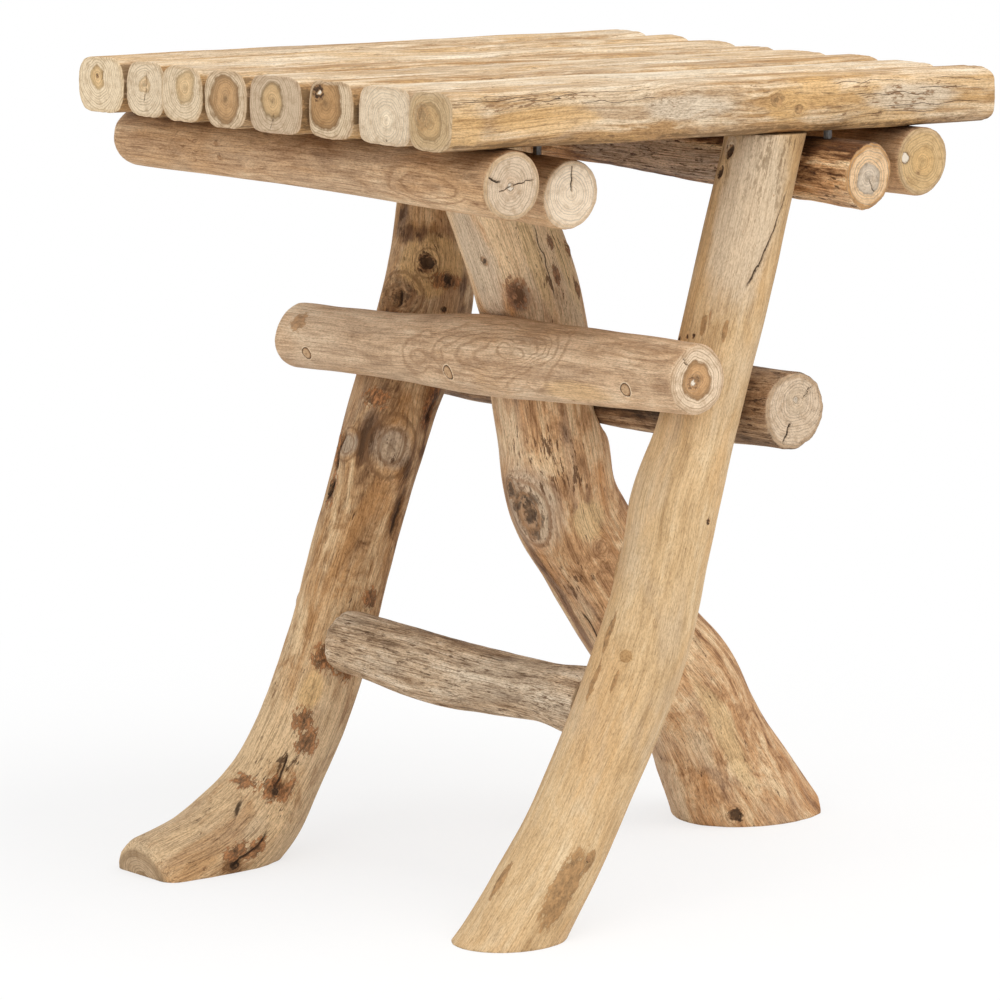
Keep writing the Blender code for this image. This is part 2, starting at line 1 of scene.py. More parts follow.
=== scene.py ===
"""Looks of the log stool: a fine mesh of every branch over its CAD solid, wood, steel, camera and studio."""

import math

import bmesh
import bpy
import numpy as np
from mathutils import Matrix, Vector
from mathutils.bvhtree import BVHTree


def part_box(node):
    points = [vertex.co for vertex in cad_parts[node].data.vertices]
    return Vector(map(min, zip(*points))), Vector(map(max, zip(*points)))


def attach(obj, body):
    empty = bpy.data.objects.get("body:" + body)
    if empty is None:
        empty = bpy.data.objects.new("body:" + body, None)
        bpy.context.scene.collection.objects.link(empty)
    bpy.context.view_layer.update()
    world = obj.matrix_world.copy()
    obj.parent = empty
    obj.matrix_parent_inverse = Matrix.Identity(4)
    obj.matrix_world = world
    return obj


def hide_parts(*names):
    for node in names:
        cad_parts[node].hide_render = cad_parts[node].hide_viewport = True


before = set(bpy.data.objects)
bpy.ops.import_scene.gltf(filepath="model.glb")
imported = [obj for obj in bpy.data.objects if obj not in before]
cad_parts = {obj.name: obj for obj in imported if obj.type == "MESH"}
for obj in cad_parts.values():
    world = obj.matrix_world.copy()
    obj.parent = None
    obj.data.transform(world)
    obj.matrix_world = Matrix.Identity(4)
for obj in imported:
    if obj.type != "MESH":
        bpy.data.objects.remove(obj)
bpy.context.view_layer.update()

# Lengths are in metres, except in the tables that say millimetres
MM = 0.001

# Camera of the photograph, measured from the floor under the middle of the seat
AZIMUTH = math.radians(39.05)
ELEVATION = math.radians(9.21)
ROLL = math.radians(0.62)
FOCAL_PIXELS = 4736.6
PHOTO_PIXELS = 1000
SENSOR_WIDTH = 36.0
CAMERA_FROM_SEAT = (-1.6595, -2.0192, 0.6287)
FRONT_SLAT_LEFT = 0.190
BACK_SLAT_EDGE = 0.1665

# Fineness of the meshes
ALONG_STEP = 0.0023
LINE_STEP = 0.002
SPLINE_STEPS = 40
LEG_SIDES = 120
LOG_SIDES = 112
SLAT_SIDES = 104
OUTLINE_STEPS = 2000
CAP_RINGS = 15

# Rays that measure the solids, and the cells along and round for the median and the smoothing after it
RAY_START = 0.012
SLAT_RAY_START = 0.03
NEARLY_ALONG_X = 0.8
CUT_SKIN = 0.0006
LOG_SMOOTHING = ((4, 4), (2.0, 3.0))
SLAT_SMOOTHING = ((4, 3), (2.0, 0.8))

# Ends of the branches
SAWN_ROUND = 0.0022
WORN_ROUND = 0.0085
TOE_ROUND = 0.0075
SLAT_END_ROUND = 0.0012
END_STEPS = (0.0, 0.06, 0.2, 0.42, 0.7, 1.0)
END_SKIP = 0.0045
END_SECTION = 0.03
RIM_DEPTH = 0.0007
TOP_SPARE = 0.028
CUT_MERGE = 1e-7
# Order of the corners that turns the faces of the front and the back end outwards, and that of the fan in
# the middle, whose second corner is the middle point
CAP_CORNERS = ((0, 3, 2, 1), (1, 2, 3, 0))
FAN_CORNERS = ((0, 2, 1), (1, 2, 0))

# Centre lines of the legs from the top down, in millimetres: x, y, z from the middle of the seat, radius
LEG_LINES = {
    "leg_back": (
        (33, 116, 420, 23), (23, 116, 370, 23), (19.5, 116, 328, 24.5), (13, 115.5, 295, 26.8),
        (-9, 114, 249, 25.4), (-36, 109, 182, 23.8), (-63, 104, 116, 24), (-84, 100, 73, 24.5),
        (-106, 98, 41.5, 25.4), (-127, 96.5, 20, 28.8), (-156, 95.5, 3, 29.2), (-196, 94.5, -8.5, 27.5),
    ),
    "leg_middle": (
        (-56, -10, 420, 29), (-30, -8, 368, 29), (-9, -4, 325, 30), (4.5, 0, 286, 31.5),
        (18, 3, 237, 32.5), (28, 6, 201, 32.5), (50.5, 7, 169.5, 31.8), (90, 10, 119, 32.5),
        (123, 11, 85, 35.5), (140.5, 12, 58, 33.8), (158, 14, 30, 38), (193, 16, -15, 40.5),
    ),
    "leg_front": (
        (40, -146, 420, 21.5), (22, -147.5, 363, 22.2), (5, -146, 300, 22.2), (-7, -144.5, 257, 22.2),
        (-18.5, -144, 226, 24.8), (-24, -143, 197, 23.6), (-42, -141, 137, 26.2), (-70.5, -139, 80, 25),
        (-94.5, -138, 39, 25.4), (-136, -136, -18, 26.6),
    ),
}

# Straight branches, which run from front to back: rounding of the front and back ends, look and slot
LOGS = {
    "bearer_left_outer": (SAWN_ROUND, WORN_ROUND, "bearer_wood", "bearer_wood"),
    "bearer_left_inner": (SAWN_ROUND, SAWN_ROUND, "bearer_wood", "bearer_wood"),
    "bearer_right_inner": (SAWN_ROUND, SAWN_ROUND, "bark_wood", "bearer_wood"),
    "bearer_right_outer": (SAWN_ROUND, SAWN_ROUND, "bearer_wood", "bearer_wood"),
    "cross_rail_left": (SAWN_ROUND, SAWN_ROUND, "rail_wood", "rail_wood"),
    "cross_rail_right": (SAWN_ROUND, SAWN_ROUND, "rail_bark_wood", "rail_wood"),
    "lower_stretcher": (SAWN_ROUND, WORN_ROUND, "stretcher_wood", "stretcher_wood"),
}

# Slats from the back to the front: how far the corners of each are filled out, and its tone
SLATS = tuple(f"seat_slat_{number}" for number in range(1, 9))
SLAT_CORNER = 0.0105
SLAT_CORNER_FILL = (0.0, 0.0002, 0.0, 0.0, 0.0009, 0.0010, 0.0013, 0.0009)
CORNER_FILL_WIDTH = 0.0042
SLAT_TONES = (0.0, -0.01, 0.01, -0.025, 0.02, -0.02, 0.03, -0.048)

# Unevenness of each surface in millimetres: broad lumps, flutes along the branch, fine fibres
RELIEF = {
    "leg_back": (1.1, 0.55, 0.22),
    "leg_middle": (0.8, 0.45, 0.22),
    "leg_front": (0.7, 0.22, 0.12),
    "bearer_left_outer": (0.6, 0.2, 0.1),
    "bearer_left_inner": (0.6, 0.2, 0.1),
    "bearer_right_inner": (0.8, 0.55, 0.3),
    "bearer_right_outer": (0.6, 0.18, 0.1),
    "cross_rail_left": (0.8, 0.22, 0.1),
    "cross_rail_right": (0.8, 0.45, 0.26),
    "lower_stretcher": (0.9, 0.6, 0.3),
}
SLAT_RELIEF = (0.5, 0.22, 0.12)
# Length, lobes round the branch and layers of the lumps, flutes and fibres
RELIEF_SCALES = ((0.055, 0.75, 2), (0.10, 3.2, 3), (0.020, 9.0, 2))
RELIEF_OFFSET = 31.7
PITH_LENGTH = 0.09
PITH_LANES = (0.3, 5.6)
PITH_WANDER = 0.0025
SLAT_PITH_WANDER = 0.0045

# Darker sides, as depth of the shade and its strength: brown bark and painted shade on the slat sides that
# face each other, painted shade under the slats, and painted shade on the bearer tops under the seat
SLAT_SIDE_BARK_AND_SHADE = (0.0062, 0.22)
SLAT_UNDER_SHADE = (0.007, 0.15)
BEARER_TOP_SHADE = {"outer": (0.008, 0.11), "inner": (0.015, 0.22)}
# Darker and lighter lengths of the legs: height and shift of tone
TONES_ALONG = {
    "leg_back": (
        (0.0, 0.115), (0.06, 0.08), (0.12, 0.03), (0.20, 0.0), (0.27, 0.005), (0.31, 0.055), (0.345, 0.09),
        (0.37, 0.085), (0.39, 0.04),
    ),
    "leg_middle": ((0.0, 0.02), (0.12, 0.01), (0.25, 0.015), (0.33, 0.08), (0.42, 0.10)),
    "leg_front": ((0.0, 0.01), (0.15, 0.0), (0.30, 0.0), (0.36, -0.055), (0.42, -0.085)),
}

# The marks below are placed by a pixel of the photograph, x and y, and their sizes are in millimetres

# Knots: pixel, radius, height of the rim, depth of the middle, share of the dark hole
KNOTS = {
    "leg_back": (
        (399, 296, 12.5, 1.6, 1.4, 0.6), (428, 262, 6.5, 0.8, 3.2, 1), (444, 309, 2.6, 0.2, 1.2, 1),
        (447, 280, 4.2, 0.3, 2, 1), (392, 447, 13, 1.6, -0.6, 0), (349, 445, 7, 1.2, -0.4, 0),
        (331, 490, 5, 0.4, 4, 1), (204, 868, 1.6, 0.1, 0.8, 1), (234, 866, 3.2, 0.3, 2.2, 1),
        (275, 792, 3, 0.3, 2, 1),
    ),
    "leg_middle": (
        (529, 510, 11.2, 2, 1, 0.8), (514, 487, 6, 1, 0.6, 0.75), (601, 547, 5, 0.7, 0.6, 0.1),
        (484, 261, 3.2, 0.1, 1, 0.8), (735, 815, 4.8, 0.4, 1.4, 1),
    ),
    "leg_front": (
        (731, 151, 4.4, 0.6, 2.8, 1), (721, 172, 4, 0.3, 2.8, 1), (653, 333, 2, 0.1, 1.2, 1),
        (687, 337, 1.9, 0.1, 0.8, 1), (694, 336, 1.9, 0.1, 0.8, 1), (709, 521, 2.2, 0.1, 1.2, 1),
        (629, 506, 2.2, 0.1, 1, 0.8), (588, 859, 2.2, 0.2, 0.8, 0.9),
    ),
    "bearer_left_outer": ((216, 143, 2.2, 0.2, 0.8, 0.8), (219, 157, 2.4, 0.2, 0.8, 0.8)),
    "seat_slat_8": ((777, 100, 4.2, 0.5, 0.6, 0.5), (798, 109, 3.2, 0.3, 0.6, 0.5)),
}

# Cracks: half width, depth, pixels along the crack
CRACKS = {
    "leg_front": ((1, 2.2, (787, 190), (781, 212), (775, 231), (762, 262), (746, 291)),),
    "leg_back": (
        (1, 2.2, (290, 752), (281, 772), (273, 790)),
        (1.1, 2.4, (268, 826), (258, 846), (243, 859), (231, 871)), (1.4, 2.8, (401, 287), (396, 310)),
        (1.8, 1.2, (403, 497), (397, 517), (392, 541)), (2.2, 3.4, (347, 428), (340, 452), (335, 474)),
        (2.8, 4, (336, 476), (330, 492), (327, 503)), (2.2, 2, (437, 398), (431, 414), (425, 427)),
        (1.6, 1.2, (245, 797), (238, 809), (234, 820)),
    ),
    "leg_middle": (
        (0.5, 1, (533, 222), (545, 262), (556, 300)), (0.4, 0.8, (549, 225), (562, 262), (570, 290)),
        (0.8, 1, (580, 610), (608, 655), (622, 690)),
    ),
    "seat_slat_8": (
        (0.22, 0.3, (470, 99), (520, 97), (580, 93)), (0.2, 0.3, (500, 104), (545, 102), (575, 100)),
        (0.22, 0.3, (915, 88), (940, 86), (970, 85)), (0.26, 0.3, (455, 104), (490, 101), (530, 99)),
        (0.24, 0.3, (545, 97), (600, 93), (650, 90)), (0.2, 0.3, (580, 104), (620, 101), (660, 98)),
        (0.2, 0.3, (850, 95), (890, 93), (930, 92)), (0.22, 0.3, (880, 106), (930, 103), (980, 101)),
        (0.22, 0.3, (830, 84), (870, 81), (905, 80)), (0.2, 0.3, (930, 78), (960, 77), (985, 78)),
        (0.18, 0.3, (860, 113), (900, 111), (940, 109)),
    ),
}

# Patches by kind: pixel, half length along the branch, half width round it. The dark patches that lower the
# tone are partly soil round knots, cracks and bark and partly painted shade in dark bands
PATCHES = {
    "leg_middle": {
        "bark": (
            (517, 294, 10, 6.2), (566, 250, 5.5, 2.4), (556, 276, 6.5, 2.4), (550, 242, 5, 2),
            (576, 288, 6, 2.2),
        ),
        "grey": ((530, 504, 21, 19), (480, 270, 45, 14)),
        "dash": ((543, 451, 13, 21), (560, 480, 12, 16), (570, 585, 16, 16), (552, 286, 18, 8)),
        "bare": ((564, 258, 30, 8), (590, 520, 12, 11), (725, 730, 40, 7), (536, 262, 34, 5)),
        "soil_and_shade": ((552, 600, 50, 3.5), (518, 296, 9, 6)),
    },
    "leg_back": {
        "soil_and_shade": (
            (416, 234, 6, 26), (444, 281, 6.5, 15), (402, 214, 8, 6), (388, 322, 10, 6), (431, 404, 14, 5),
            (398, 508, 13, 3.8), (366, 436, 12, 5), (404, 470, 10, 5), (276, 790, 6, 4),
            (233, 866, 6, 4.5),
        ),
        "bark": (
            (446, 281, 4, 9), (385, 330, 7, 8), (287, 790, 9, 4), (307, 742, 8, 6), (430, 404, 13, 6),
            (375, 398, 5, 8), (339, 447, 12, 4), (331, 492, 10, 4.5), (371, 599, 6, 6), (329, 658, 8, 9),
            (346, 672, 6, 6), (304, 720, 7, 6), (273, 786, 10, 5), (242, 781, 6.5, 7.5), (236, 852, 9, 4),
            (254, 850, 9, 3.5),
        ),
        "bare": (
            (440, 253, 12, 11), (412, 262, 13, 8), (430, 282, 11, 10), (455, 268, 12, 6),
            (311, 691, 12.5, 6.5),
        ),
        "grey": ((392, 447, 12, 12), (349, 445, 7, 7)),
        "dash": ((285, 765, 26, 12),),
    },
    "cross_rail_right": {
        "soil_and_shade": ((640, 408, 40, 6),),
    },
    "leg_front": {
        "bark": (
            (562, 893, 24, 6), (590, 860, 6, 2), (502, 880, 11, 3), (609, 634, 11, 2.4),
            (594, 681, 12, 1.8), (615, 681, 7, 1.4), (704, 324, 6, 1.8), (725, 330, 6, 1.6),
        ),
        "grey": ((731, 146, 6, 6), (748, 210, 55, 20)),
        "dash": ((705, 330, 10, 4),),
    },
    "cross_rail_left": {
        "bare": ((575, 392, 26, 7),),
        "bark": ((300, 322, 7, 6),),
    },
    "seat_slat_8": {
        "bare": ((788, 104, 15, 9), (820, 92, 14, 8), (462, 128, 15, 11), (545, 120, 35, 9)),
        "grey": ((690, 108, 30, 7), (915, 96, 35, 7)),
        "dash": ((905, 96, 45, 9), (540, 100, 40, 5)),
    },
    "bearer_right_inner": {
        "grey": ((640, 152, 60, 12), (690, 164, 60, 10)),
    },
    "bearer_left_outer": {
        "dash": ((190, 150, 20, 10),),
    },
}

# Growth figure where the surface cuts through the rings: pixel, half length, half width, height
FIGURES = {
    "cross_rail_left": (
        (482, 356, 38, 12.5, 7), (515, 352, 16, 7, 4), (415, 357, 14, 8, 3), (545, 343, 14, 11, 3.5),
        (640, 350, 30, 6, 3),
    ),
    "bearer_left_outer": ((430, 188, 40, 9, 4),),
}

# Checks in the front or left sawn end: degrees from straight up to the right, shares of the radius where
# the check starts and stops, and its half width
END_CHECKS = {
    "bearer_left_inner": ((0, 0.05, 1, 0.6),),
    "bearer_left_outer": ((-72, 0.45, 1, 0.7), (-110, 0.02, 0.5, 0.3), (78, 0.05, 0.85, 0.3)),
    "cross_rail_right": ((205, 0.3, 1, 0.6), (40, 0.45, 0.9, 0.3)),
    "cross_rail_left": ((-40, 0.6, 0.95, 0.3),),
    "bearer_right_inner": ((150, 0.1, 0.6, 0.3),),
    "seat_slat_1": ((20, 0.05, 0.35, 0.4),),
    "seat_slat_2": ((8, 0, 0.45, 0.5), (190, 0, 0.45, 0.5)),
    "seat_slat_5": ((-160, 0.2, 0.8, 0.3),),
    "seat_slat_7": ((172, 0.62, 0.92, 0.6),),
}

# Spots in the front or left sawn end: pixel, radius, share of the dark hole, or below 0 of a pale fleck
END_SPOTS = {
    "seat_slat_6": ((318, 92, 5, 1), (318, 92, 1.6, -1)),
    "seat_slat_1": ((97, 76, 1.6, 0.9),),
    "seat_slat_8": ((422, 116, 6, 0.3),),
    "bearer_right_outer": ((905, 158, 2.6, -0.9), (918, 173, 1.6, 0.5), (908, 178, 1.1, 0.5)),
    "bearer_left_outer": ((511, 187, 1.8, -0.7),),
    "cross_rail_left": ((694, 383, 4, 0.8), (694, 383, 1.8, -1)),
    "cross_rail_right": ((796, 400, 1.6, -0.35),),
}

# How knots, cracks and patches shape the surface
KNOT_FAR = 4.0
KNOT_STRETCH = 1.25
KNOT_RIM = (0.9, 0.4)
KNOT_MIDDLE = 0.45
KNOT_TURN = (0.7, 1.5)
SMALL_KNOT = 0.0062
SMALL_KNOT_FALL = 4.0
CRACK_WANDER = 0.0013
CRACK_BEND_LENGTH = 0.009
CRACK_TAPER = 0.006
CRACK_LANES = 3
PATCH_REACH = 1.5
PATCH_STEEP = 3.0
PATCH_START = 0.6
BARK_RISE = 0.0006
CRUST_LENGTH = 0.006
CRUST_LOBES = 4.0
CRUST_SWING = 1.6
BARE_SINK = 0.0005
# Tone shift of the dark patches, partly soil and partly painted shade
SOIL_AND_SHADE_SHIFT = -0.30
FIGURE_STEP = 0.0014
FIGURE_BEND = 0.26
FIGURE_BEND_LENGTH = 0.02
FIGURE_BEND_LOBES = 1.6

# Sawn faces: roughness across, up and along with its depth, dishing, checks and spots
CAP_ROUGHNESS = (260.0, 900.0, 40.0)
CAP_ROUGH_DEPTH = 0.00016
CAP_ROUGH_OFFSET = 3.1
CAP_DISH = 0.0003
CHECK_DEPTH = 0.0016
CHECK_WANDER = 0.0006
CHECK_BENDS = 400.0
CHECK_TAPER = 0.08
SPOT_DEPTH = 0.25
SPOT_WIDTH = 0.6

# Seeded marks on the sides that face away from the camera: counts, and ranges to draw from
SEED = 4127
HIDDEN_KNOTS = 4
HIDDEN_CRACKS = 2
HIDDEN_PATCHES = ("bark", "bark", "dash", "dash", "bare", "bare")
HIDDEN_KNOT_RADIUS = (0.002, 0.0065)
HIDDEN_KNOT_RIM = 0.08
HIDDEN_KNOT_SINK = 0.16
HIDDEN_KNOT_HOLE = (0.3, 1.0)
HIDDEN_CRACK_LENGTH = (0.03, 0.08)
HIDDEN_CRACK_BEND = (-0.15, 0.15)
HIDDEN_CRACK_SIZE = (0.0006, 0.0012)
HIDDEN_PATCH_LENGTH = (0.008, 0.018)
HIDDEN_PATCH_WIDTH = (0.004, 0.009)
AWAY_MARKS = (0.08, 0.8)
AWAY_FACING = 0.25

# Lattice noise
LATTICE_PRIMES = (73856093, 19349663, 83492791)
SEED_PRIME = 2654435761
MIX_PRIME = 1274126177
MIX_SHIFTS = (13, 16)
WORD = 0xFFFFFFFF
HALF_WORD = 2**31
LAYER_OFFSET = 17.3
CRACK_SEED = 90
CRUST_SEED = 130
CAP_SEED = 7
PITH_SEED = 11
RELIEF_SEED = 50

# Colours of each wood, as linear red, green and blue, and how strongly each kind of mark shows. "mix" is
# the weight of bands, streaks and mottling, "spread" the range of tone that they cover. "crust" has the
# dark and pale parts of bark, as shares of its colour, and how far its edge frays.
WOODS = {
    "leg_back_wood": {
        "tones": ((0.19, 0.091, 0.037), (0.54, 0.325, 0.158), (0.8, 0.575, 0.335)),
        "grey": ((0.52, 0.42, 0.31), 0.3), "warm": ((0.57, 0.295, 0.11), 0.62),
        "fleck": ((0.09, 0.042, 0.018), 0.66), "bark": (0.21, 0.092, 0.036), "crust": (0.25, 2.5, 2.6),
        "bare": (0.8, 0.53, 0.24), "mix": (0.22, 0.23, 0.55), "spread": 0.08,
        "rings": 0.18, "fibre": 0.68, "hair": 0.45,
    },
    "leg_middle_wood": {
        "tones": ((0.27, 0.126, 0.052), (0.66, 0.385, 0.19), (0.88, 0.64, 0.385)),
        "grey": ((0.6, 0.49, 0.365), 0.4), "warm": ((0.62, 0.3, 0.11), 0.8),
        "fleck": ((0.13, 0.06, 0.027), 0.655), "bark": (0.2, 0.095, 0.046), "crust": (0.4, 2, 2),
        "bare": (0.82, 0.59, 0.31), "mix": (0.25, 0.25, 0.5), "spread": 0.075,
        "rings": 0.15, "fibre": 0.62, "hair": 0.4,
    },
    "leg_front_wood": {
        "tones": ((0.48, 0.3, 0.14), (0.7, 0.485, 0.262), (0.8, 0.615, 0.385)),
        "grey": ((0.64, 0.52, 0.38), 0.35), "warm": ((0.68, 0.41, 0.18), 0.5),
        "fleck": ((0.38, 0.2, 0.09), 0.685), "bark": (0.35, 0.195, 0.082), "crust": (0.6, 1.4, 1.1),
        "bare": (0.76, 0.54, 0.28), "mix": (0.3, 0.33, 0.37), "spread": 0.14,
        "rings": 0.1, "fibre": 0.42, "hair": 0.25,
    },
    "bearer_wood": {
        "tones": ((0.34, 0.185, 0.088), (0.62, 0.395, 0.22), (0.8, 0.58, 0.36)),
        "grey": ((0.6, 0.47, 0.33), 0.25), "warm": ((0.58, 0.33, 0.145), 0.4),
        "fleck": ((0.24, 0.12, 0.052), 0.675), "bark": (0.24, 0.12, 0.055), "crust": (0.55, 1.6, 1.6),
        "bare": (0.72, 0.49, 0.24), "mix": (0.35, 0.3, 0.35), "spread": 0.095,
        "rings": 0.15, "fibre": 0.6, "hair": 0.45,
    },
    "bark_wood": {
        "tones": ((0.15, 0.06, 0.02), (0.66, 0.37, 0.17), (0.95, 0.71, 0.43)),
        "grey": ((0.66, 0.52, 0.39), 0.25), "warm": ((0.66, 0.33, 0.12), 0.5),
        "fleck": ((0.07, 0.03, 0.012), 0.6), "bark": (0.14, 0.06, 0.024), "crust": (0.3, 2.4, 2.6),
        "bare": (0.78, 0.49, 0.23), "mix": (0.25, 0.4, 0.35), "spread": 0.064,
        "rings": 0.2, "fibre": 1, "hair": 0.95,
    },
    "rail_wood": {
        "tones": ((0.42, 0.255, 0.14), (0.71, 0.495, 0.31), (0.87, 0.68, 0.47)),
        "grey": ((0.65, 0.52, 0.38), 0.3), "warm": ((0.62, 0.37, 0.18), 0.4),
        "fleck": ((0.34, 0.18, 0.09), 0.685), "bark": (0.42, 0.24, 0.115), "crust": (0.7, 1.3, 1.2),
        "bare": (0.7, 0.46, 0.23), "mix": (0.35, 0.28, 0.37), "spread": 0.1,
        "rings": 0.3, "fibre": 0.52, "hair": 0.35,
    },
    "rail_bark_wood": {
        "tones": ((0.1, 0.05, 0.023), (0.33, 0.2, 0.11), (0.65, 0.455, 0.28)),
        "grey": ((0.4, 0.3, 0.21), 0.3), "warm": ((0.4, 0.21, 0.09), 0.4),
        "fleck": ((0.06, 0.028, 0.014), 0.615), "bark": (0.12, 0.056, 0.026), "crust": (0.4, 2.2, 2.4),
        "bare": (0.6, 0.4, 0.19), "mix": (0.3, 0.35, 0.35), "spread": 0.068,
        "rings": 0.2, "fibre": 0.9, "hair": 0.85,
    },
    "stretcher_wood": {
        "tones": ((0.27, 0.168, 0.093), (0.66, 0.48, 0.31), (0.86, 0.7, 0.515)),
        "grey": ((0.62, 0.52, 0.395), 0.45), "warm": ((0.56, 0.35, 0.185), 0.3),
        "fleck": ((0.16, 0.088, 0.045), 0.61), "bark": (0.2, 0.112, 0.06), "crust": (0.5, 1.9, 2.2),
        "bare": (0.7, 0.52, 0.3), "mix": (0.25, 0.35, 0.4), "spread": 0.085,
        "rings": 0.15, "fibre": 0.95, "hair": 0.9,
    },
    "seat_wood": {
        "tones": ((0.5, 0.295, 0.13), (0.83, 0.635, 0.415), (0.95, 0.82, 0.63)),
        "grey": ((0.68, 0.575, 0.44), 0.35), "warm": ((0.72, 0.45, 0.19), 0.5),
        "fleck": ((0.27, 0.148, 0.07), 0.655), "bark": (0.34, 0.185, 0.088), "crust": (0.6, 1.5, 1.5),
        "bare": (0.75, 0.47, 0.2), "mix": (0.32, 0.48, 0.2), "spread": 0.08,
        "rings": 0.3, "fibre": 0.6, "hair": 0.8,
    },
}
CRACK_COLOUR = (0.045, 0.024, 0.012)
KNOT_COLOUR = (0.05, 0.025, 0.012)
KNOT_BROWN = (0.40, 0.215, 0.10)
CORE_TONES = ((0.40, KNOT_COLOUR), (0.56, KNOT_BROWN))
PALE_FLECK = (0.86, 0.76, 0.62)
BARK_STOPS = (0.38, 0.5, 0.62)

# Sawn ends: colours of heart, sapwood and rim, radius of the heart and its place from the middle in
# millimetres, and the tone of its outline
ENDS = {
    "plain": ((0.5, 0.33, 0.18), (0.6, 0.43, 0.265), (0.46, 0.315, 0.18), 8, (0, 0), 0.8),
    "seat_slat_1": ((0.74, 0.51, 0.26), (0.9, 0.73, 0.505), (0.8, 0.62, 0.4), 6.2, (3, 2), 0.75),
    "seat_slat_2": ((0.74, 0.54, 0.32), (0.83, 0.67, 0.47), (0.72, 0.55, 0.36), 4.5, (1.5, 1), 0.75),
    "seat_slat_3": ((0.7, 0.495, 0.27), (0.8, 0.635, 0.435), (0.7, 0.52, 0.33), 9, (-2, 3.5), 0.8),
    "seat_slat_4": ((0.52, 0.315, 0.15), (0.75, 0.58, 0.39), (0.64, 0.47, 0.3), 13.5, (0, 0), 0.62),
    "seat_slat_5": ((0.62, 0.415, 0.21), (0.64, 0.485, 0.33), (0.59, 0.43, 0.285), 9, (3, 1), 0.5),
    "seat_slat_6": ((0.46, 0.265, 0.115), (0.74, 0.575, 0.385), (0.62, 0.45, 0.285), 14, (4.7, 3), 0.6),
    "seat_slat_7": ((0.86, 0.71, 0.515), (0.82, 0.66, 0.47), (0.72, 0.55, 0.37), 6, (-2, -2), 0.93),
    "seat_slat_8": ((0.56, 0.37, 0.18), (0.6, 0.425, 0.235), (0.6, 0.435, 0.26), 10, (2, 0), 0.7),
    "bearer_left_outer": ((0.66, 0.5, 0.35), (0.71, 0.55, 0.39), (0.62, 0.44, 0.265), 7, (0, 0), 0.92),
    "bearer_left_inner": ((0.98, 0.81, 0.61), (0.96, 0.79, 0.595), (0.78, 0.59, 0.395), 8, (0, 0), 0.93),
    "bearer_right_inner": ((0.66, 0.54, 0.41), (0.88, 0.6, 0.345), (0.58, 0.32, 0.13), 8.5, (0, 0), 0.8),
    "bearer_right_outer": ((0.67, 0.44, 0.2), (0.68, 0.465, 0.23), (0.6, 0.42, 0.235), 9, (0, 0), 0.86),
    "cross_rail_left": ((0.56, 0.328, 0.155), (0.81, 0.63, 0.445), (0.66, 0.48, 0.315), 9.5, (0, 0), 0.62),
    "cross_rail_right": ((0.66, 0.505, 0.35), (0.73, 0.56, 0.395), (0.54, 0.375, 0.235), 8, (2, -6.2), 0.92),
    "lower_stretcher": ((0.5, 0.36, 0.22), (0.58, 0.44, 0.29), (0.44, 0.32, 0.2), 7, (0, 0), 0.8),
}
# Where the tones of a sawn end lie on their ramp, from its pith out to the sapwood
END_STOPS = (0.0, 0.07, 0.22, 0.38, 0.47, 0.54)

# Layers of noise in the grain: scale across, up and along, detail, roughness, distortion
GRAIN_LAYERS = {
    "fibre": ((1400.0, 1400.0, 36.0), 4.0, 0.62),
    "grit": ((1500.0, 1500.0, 520.0), 4.0, 0.7),
    "band": ((42.0, 42.0, 3.2), 4.0, 0.6, 0.3),
    "streak": ((190.0, 190.0, 6.0), 5.0, 0.65),
    "mottle": ((75.0, 75.0, 34.0), 7.0, 0.7, 0.7),
    "wash": ((24.0, 24.0, 9.0), 4.0, 0.6, 0.5),
    "heat": ((34.0, 34.0, 8.0), 5.0, 0.65, 0.5),
    "fleck": ((430.0, 430.0, 95.0), 4.0, 0.65),
    "flake": ((480.0, 480.0, 240.0), 5.0, 0.7),
    "wander": ((60.0, 60.0, 14.0), 3.0, 0.5),
    "ragged": ((240.0, 240.0, 40.0), 4.0, 0.65),
    "pores": ((2400.0, 2400.0, 40.0), 3.0, 0.7),
}
YEAR_LAYER = ((620.0, 0.0, 0.0), 3.0, 0.6)
YEARS = 3900.0
GRAIN_STEP = 0.37
RING_WANDER = 0.007

# Where each mark of the wood starts to show and where it is full, on its noise or its distance
WARM_EDGE = (0.48, 0.62)
GREY_EDGE = (0.46, 0.64)
PALE_EDGE = (0.45, 0.85)
PALE_REACH = (0.0, 0.3)
BARE_EDGE = (0.62, 1.0)
BARE_REACH = (0.0, 0.35)
RING_EDGE = (0.56, 0.64)
CONTOUR_EDGE = (0.27, 0.46)
CONTOUR_REACH = (0.0004, 0.0014)
LINE_EDGE = (0.010, 0.003)
LINE_REACH = (0.46, 0.58)
FLECK_EDGE = 0.03
CRUST_EDGE = (0.28, 0.38)
CRUST_REACH = (0.0, 0.2)
# Edges of the darkening by soil and painted shade, on the shift of tone
SOIL_AND_SHADE_EDGE = (-0.13, -0.20)
SOIL_AND_SHADE_REACH = (-0.03, -0.10)
RIM_EDGE = (0.90, 1.0)
YEAR_EDGE = (0.1, 0.95)
YEAR_REACH = (0.36, 0.58)
KNOT_RING_EDGE = (0.1, 1.0)
KNOT_RING_REACH = (2.0, 1.1)
KNOT_RING_START = (0.30, 0.55)
KNOT_RINGS = 12.5
CORE_EDGE = (0.98, 0.80)
HOLLOW_EDGE = (0.85, 1.0)
HOLLOW_GROWTH = 0.35
PIT_EDGE = (0.46, 0.24)
PALE_RING_EDGE = (1.5, 1.1)
PALE_SPOT_EDGE = (1.1, 0.8)
SLIT_EDGE = (1.0, 0.35)

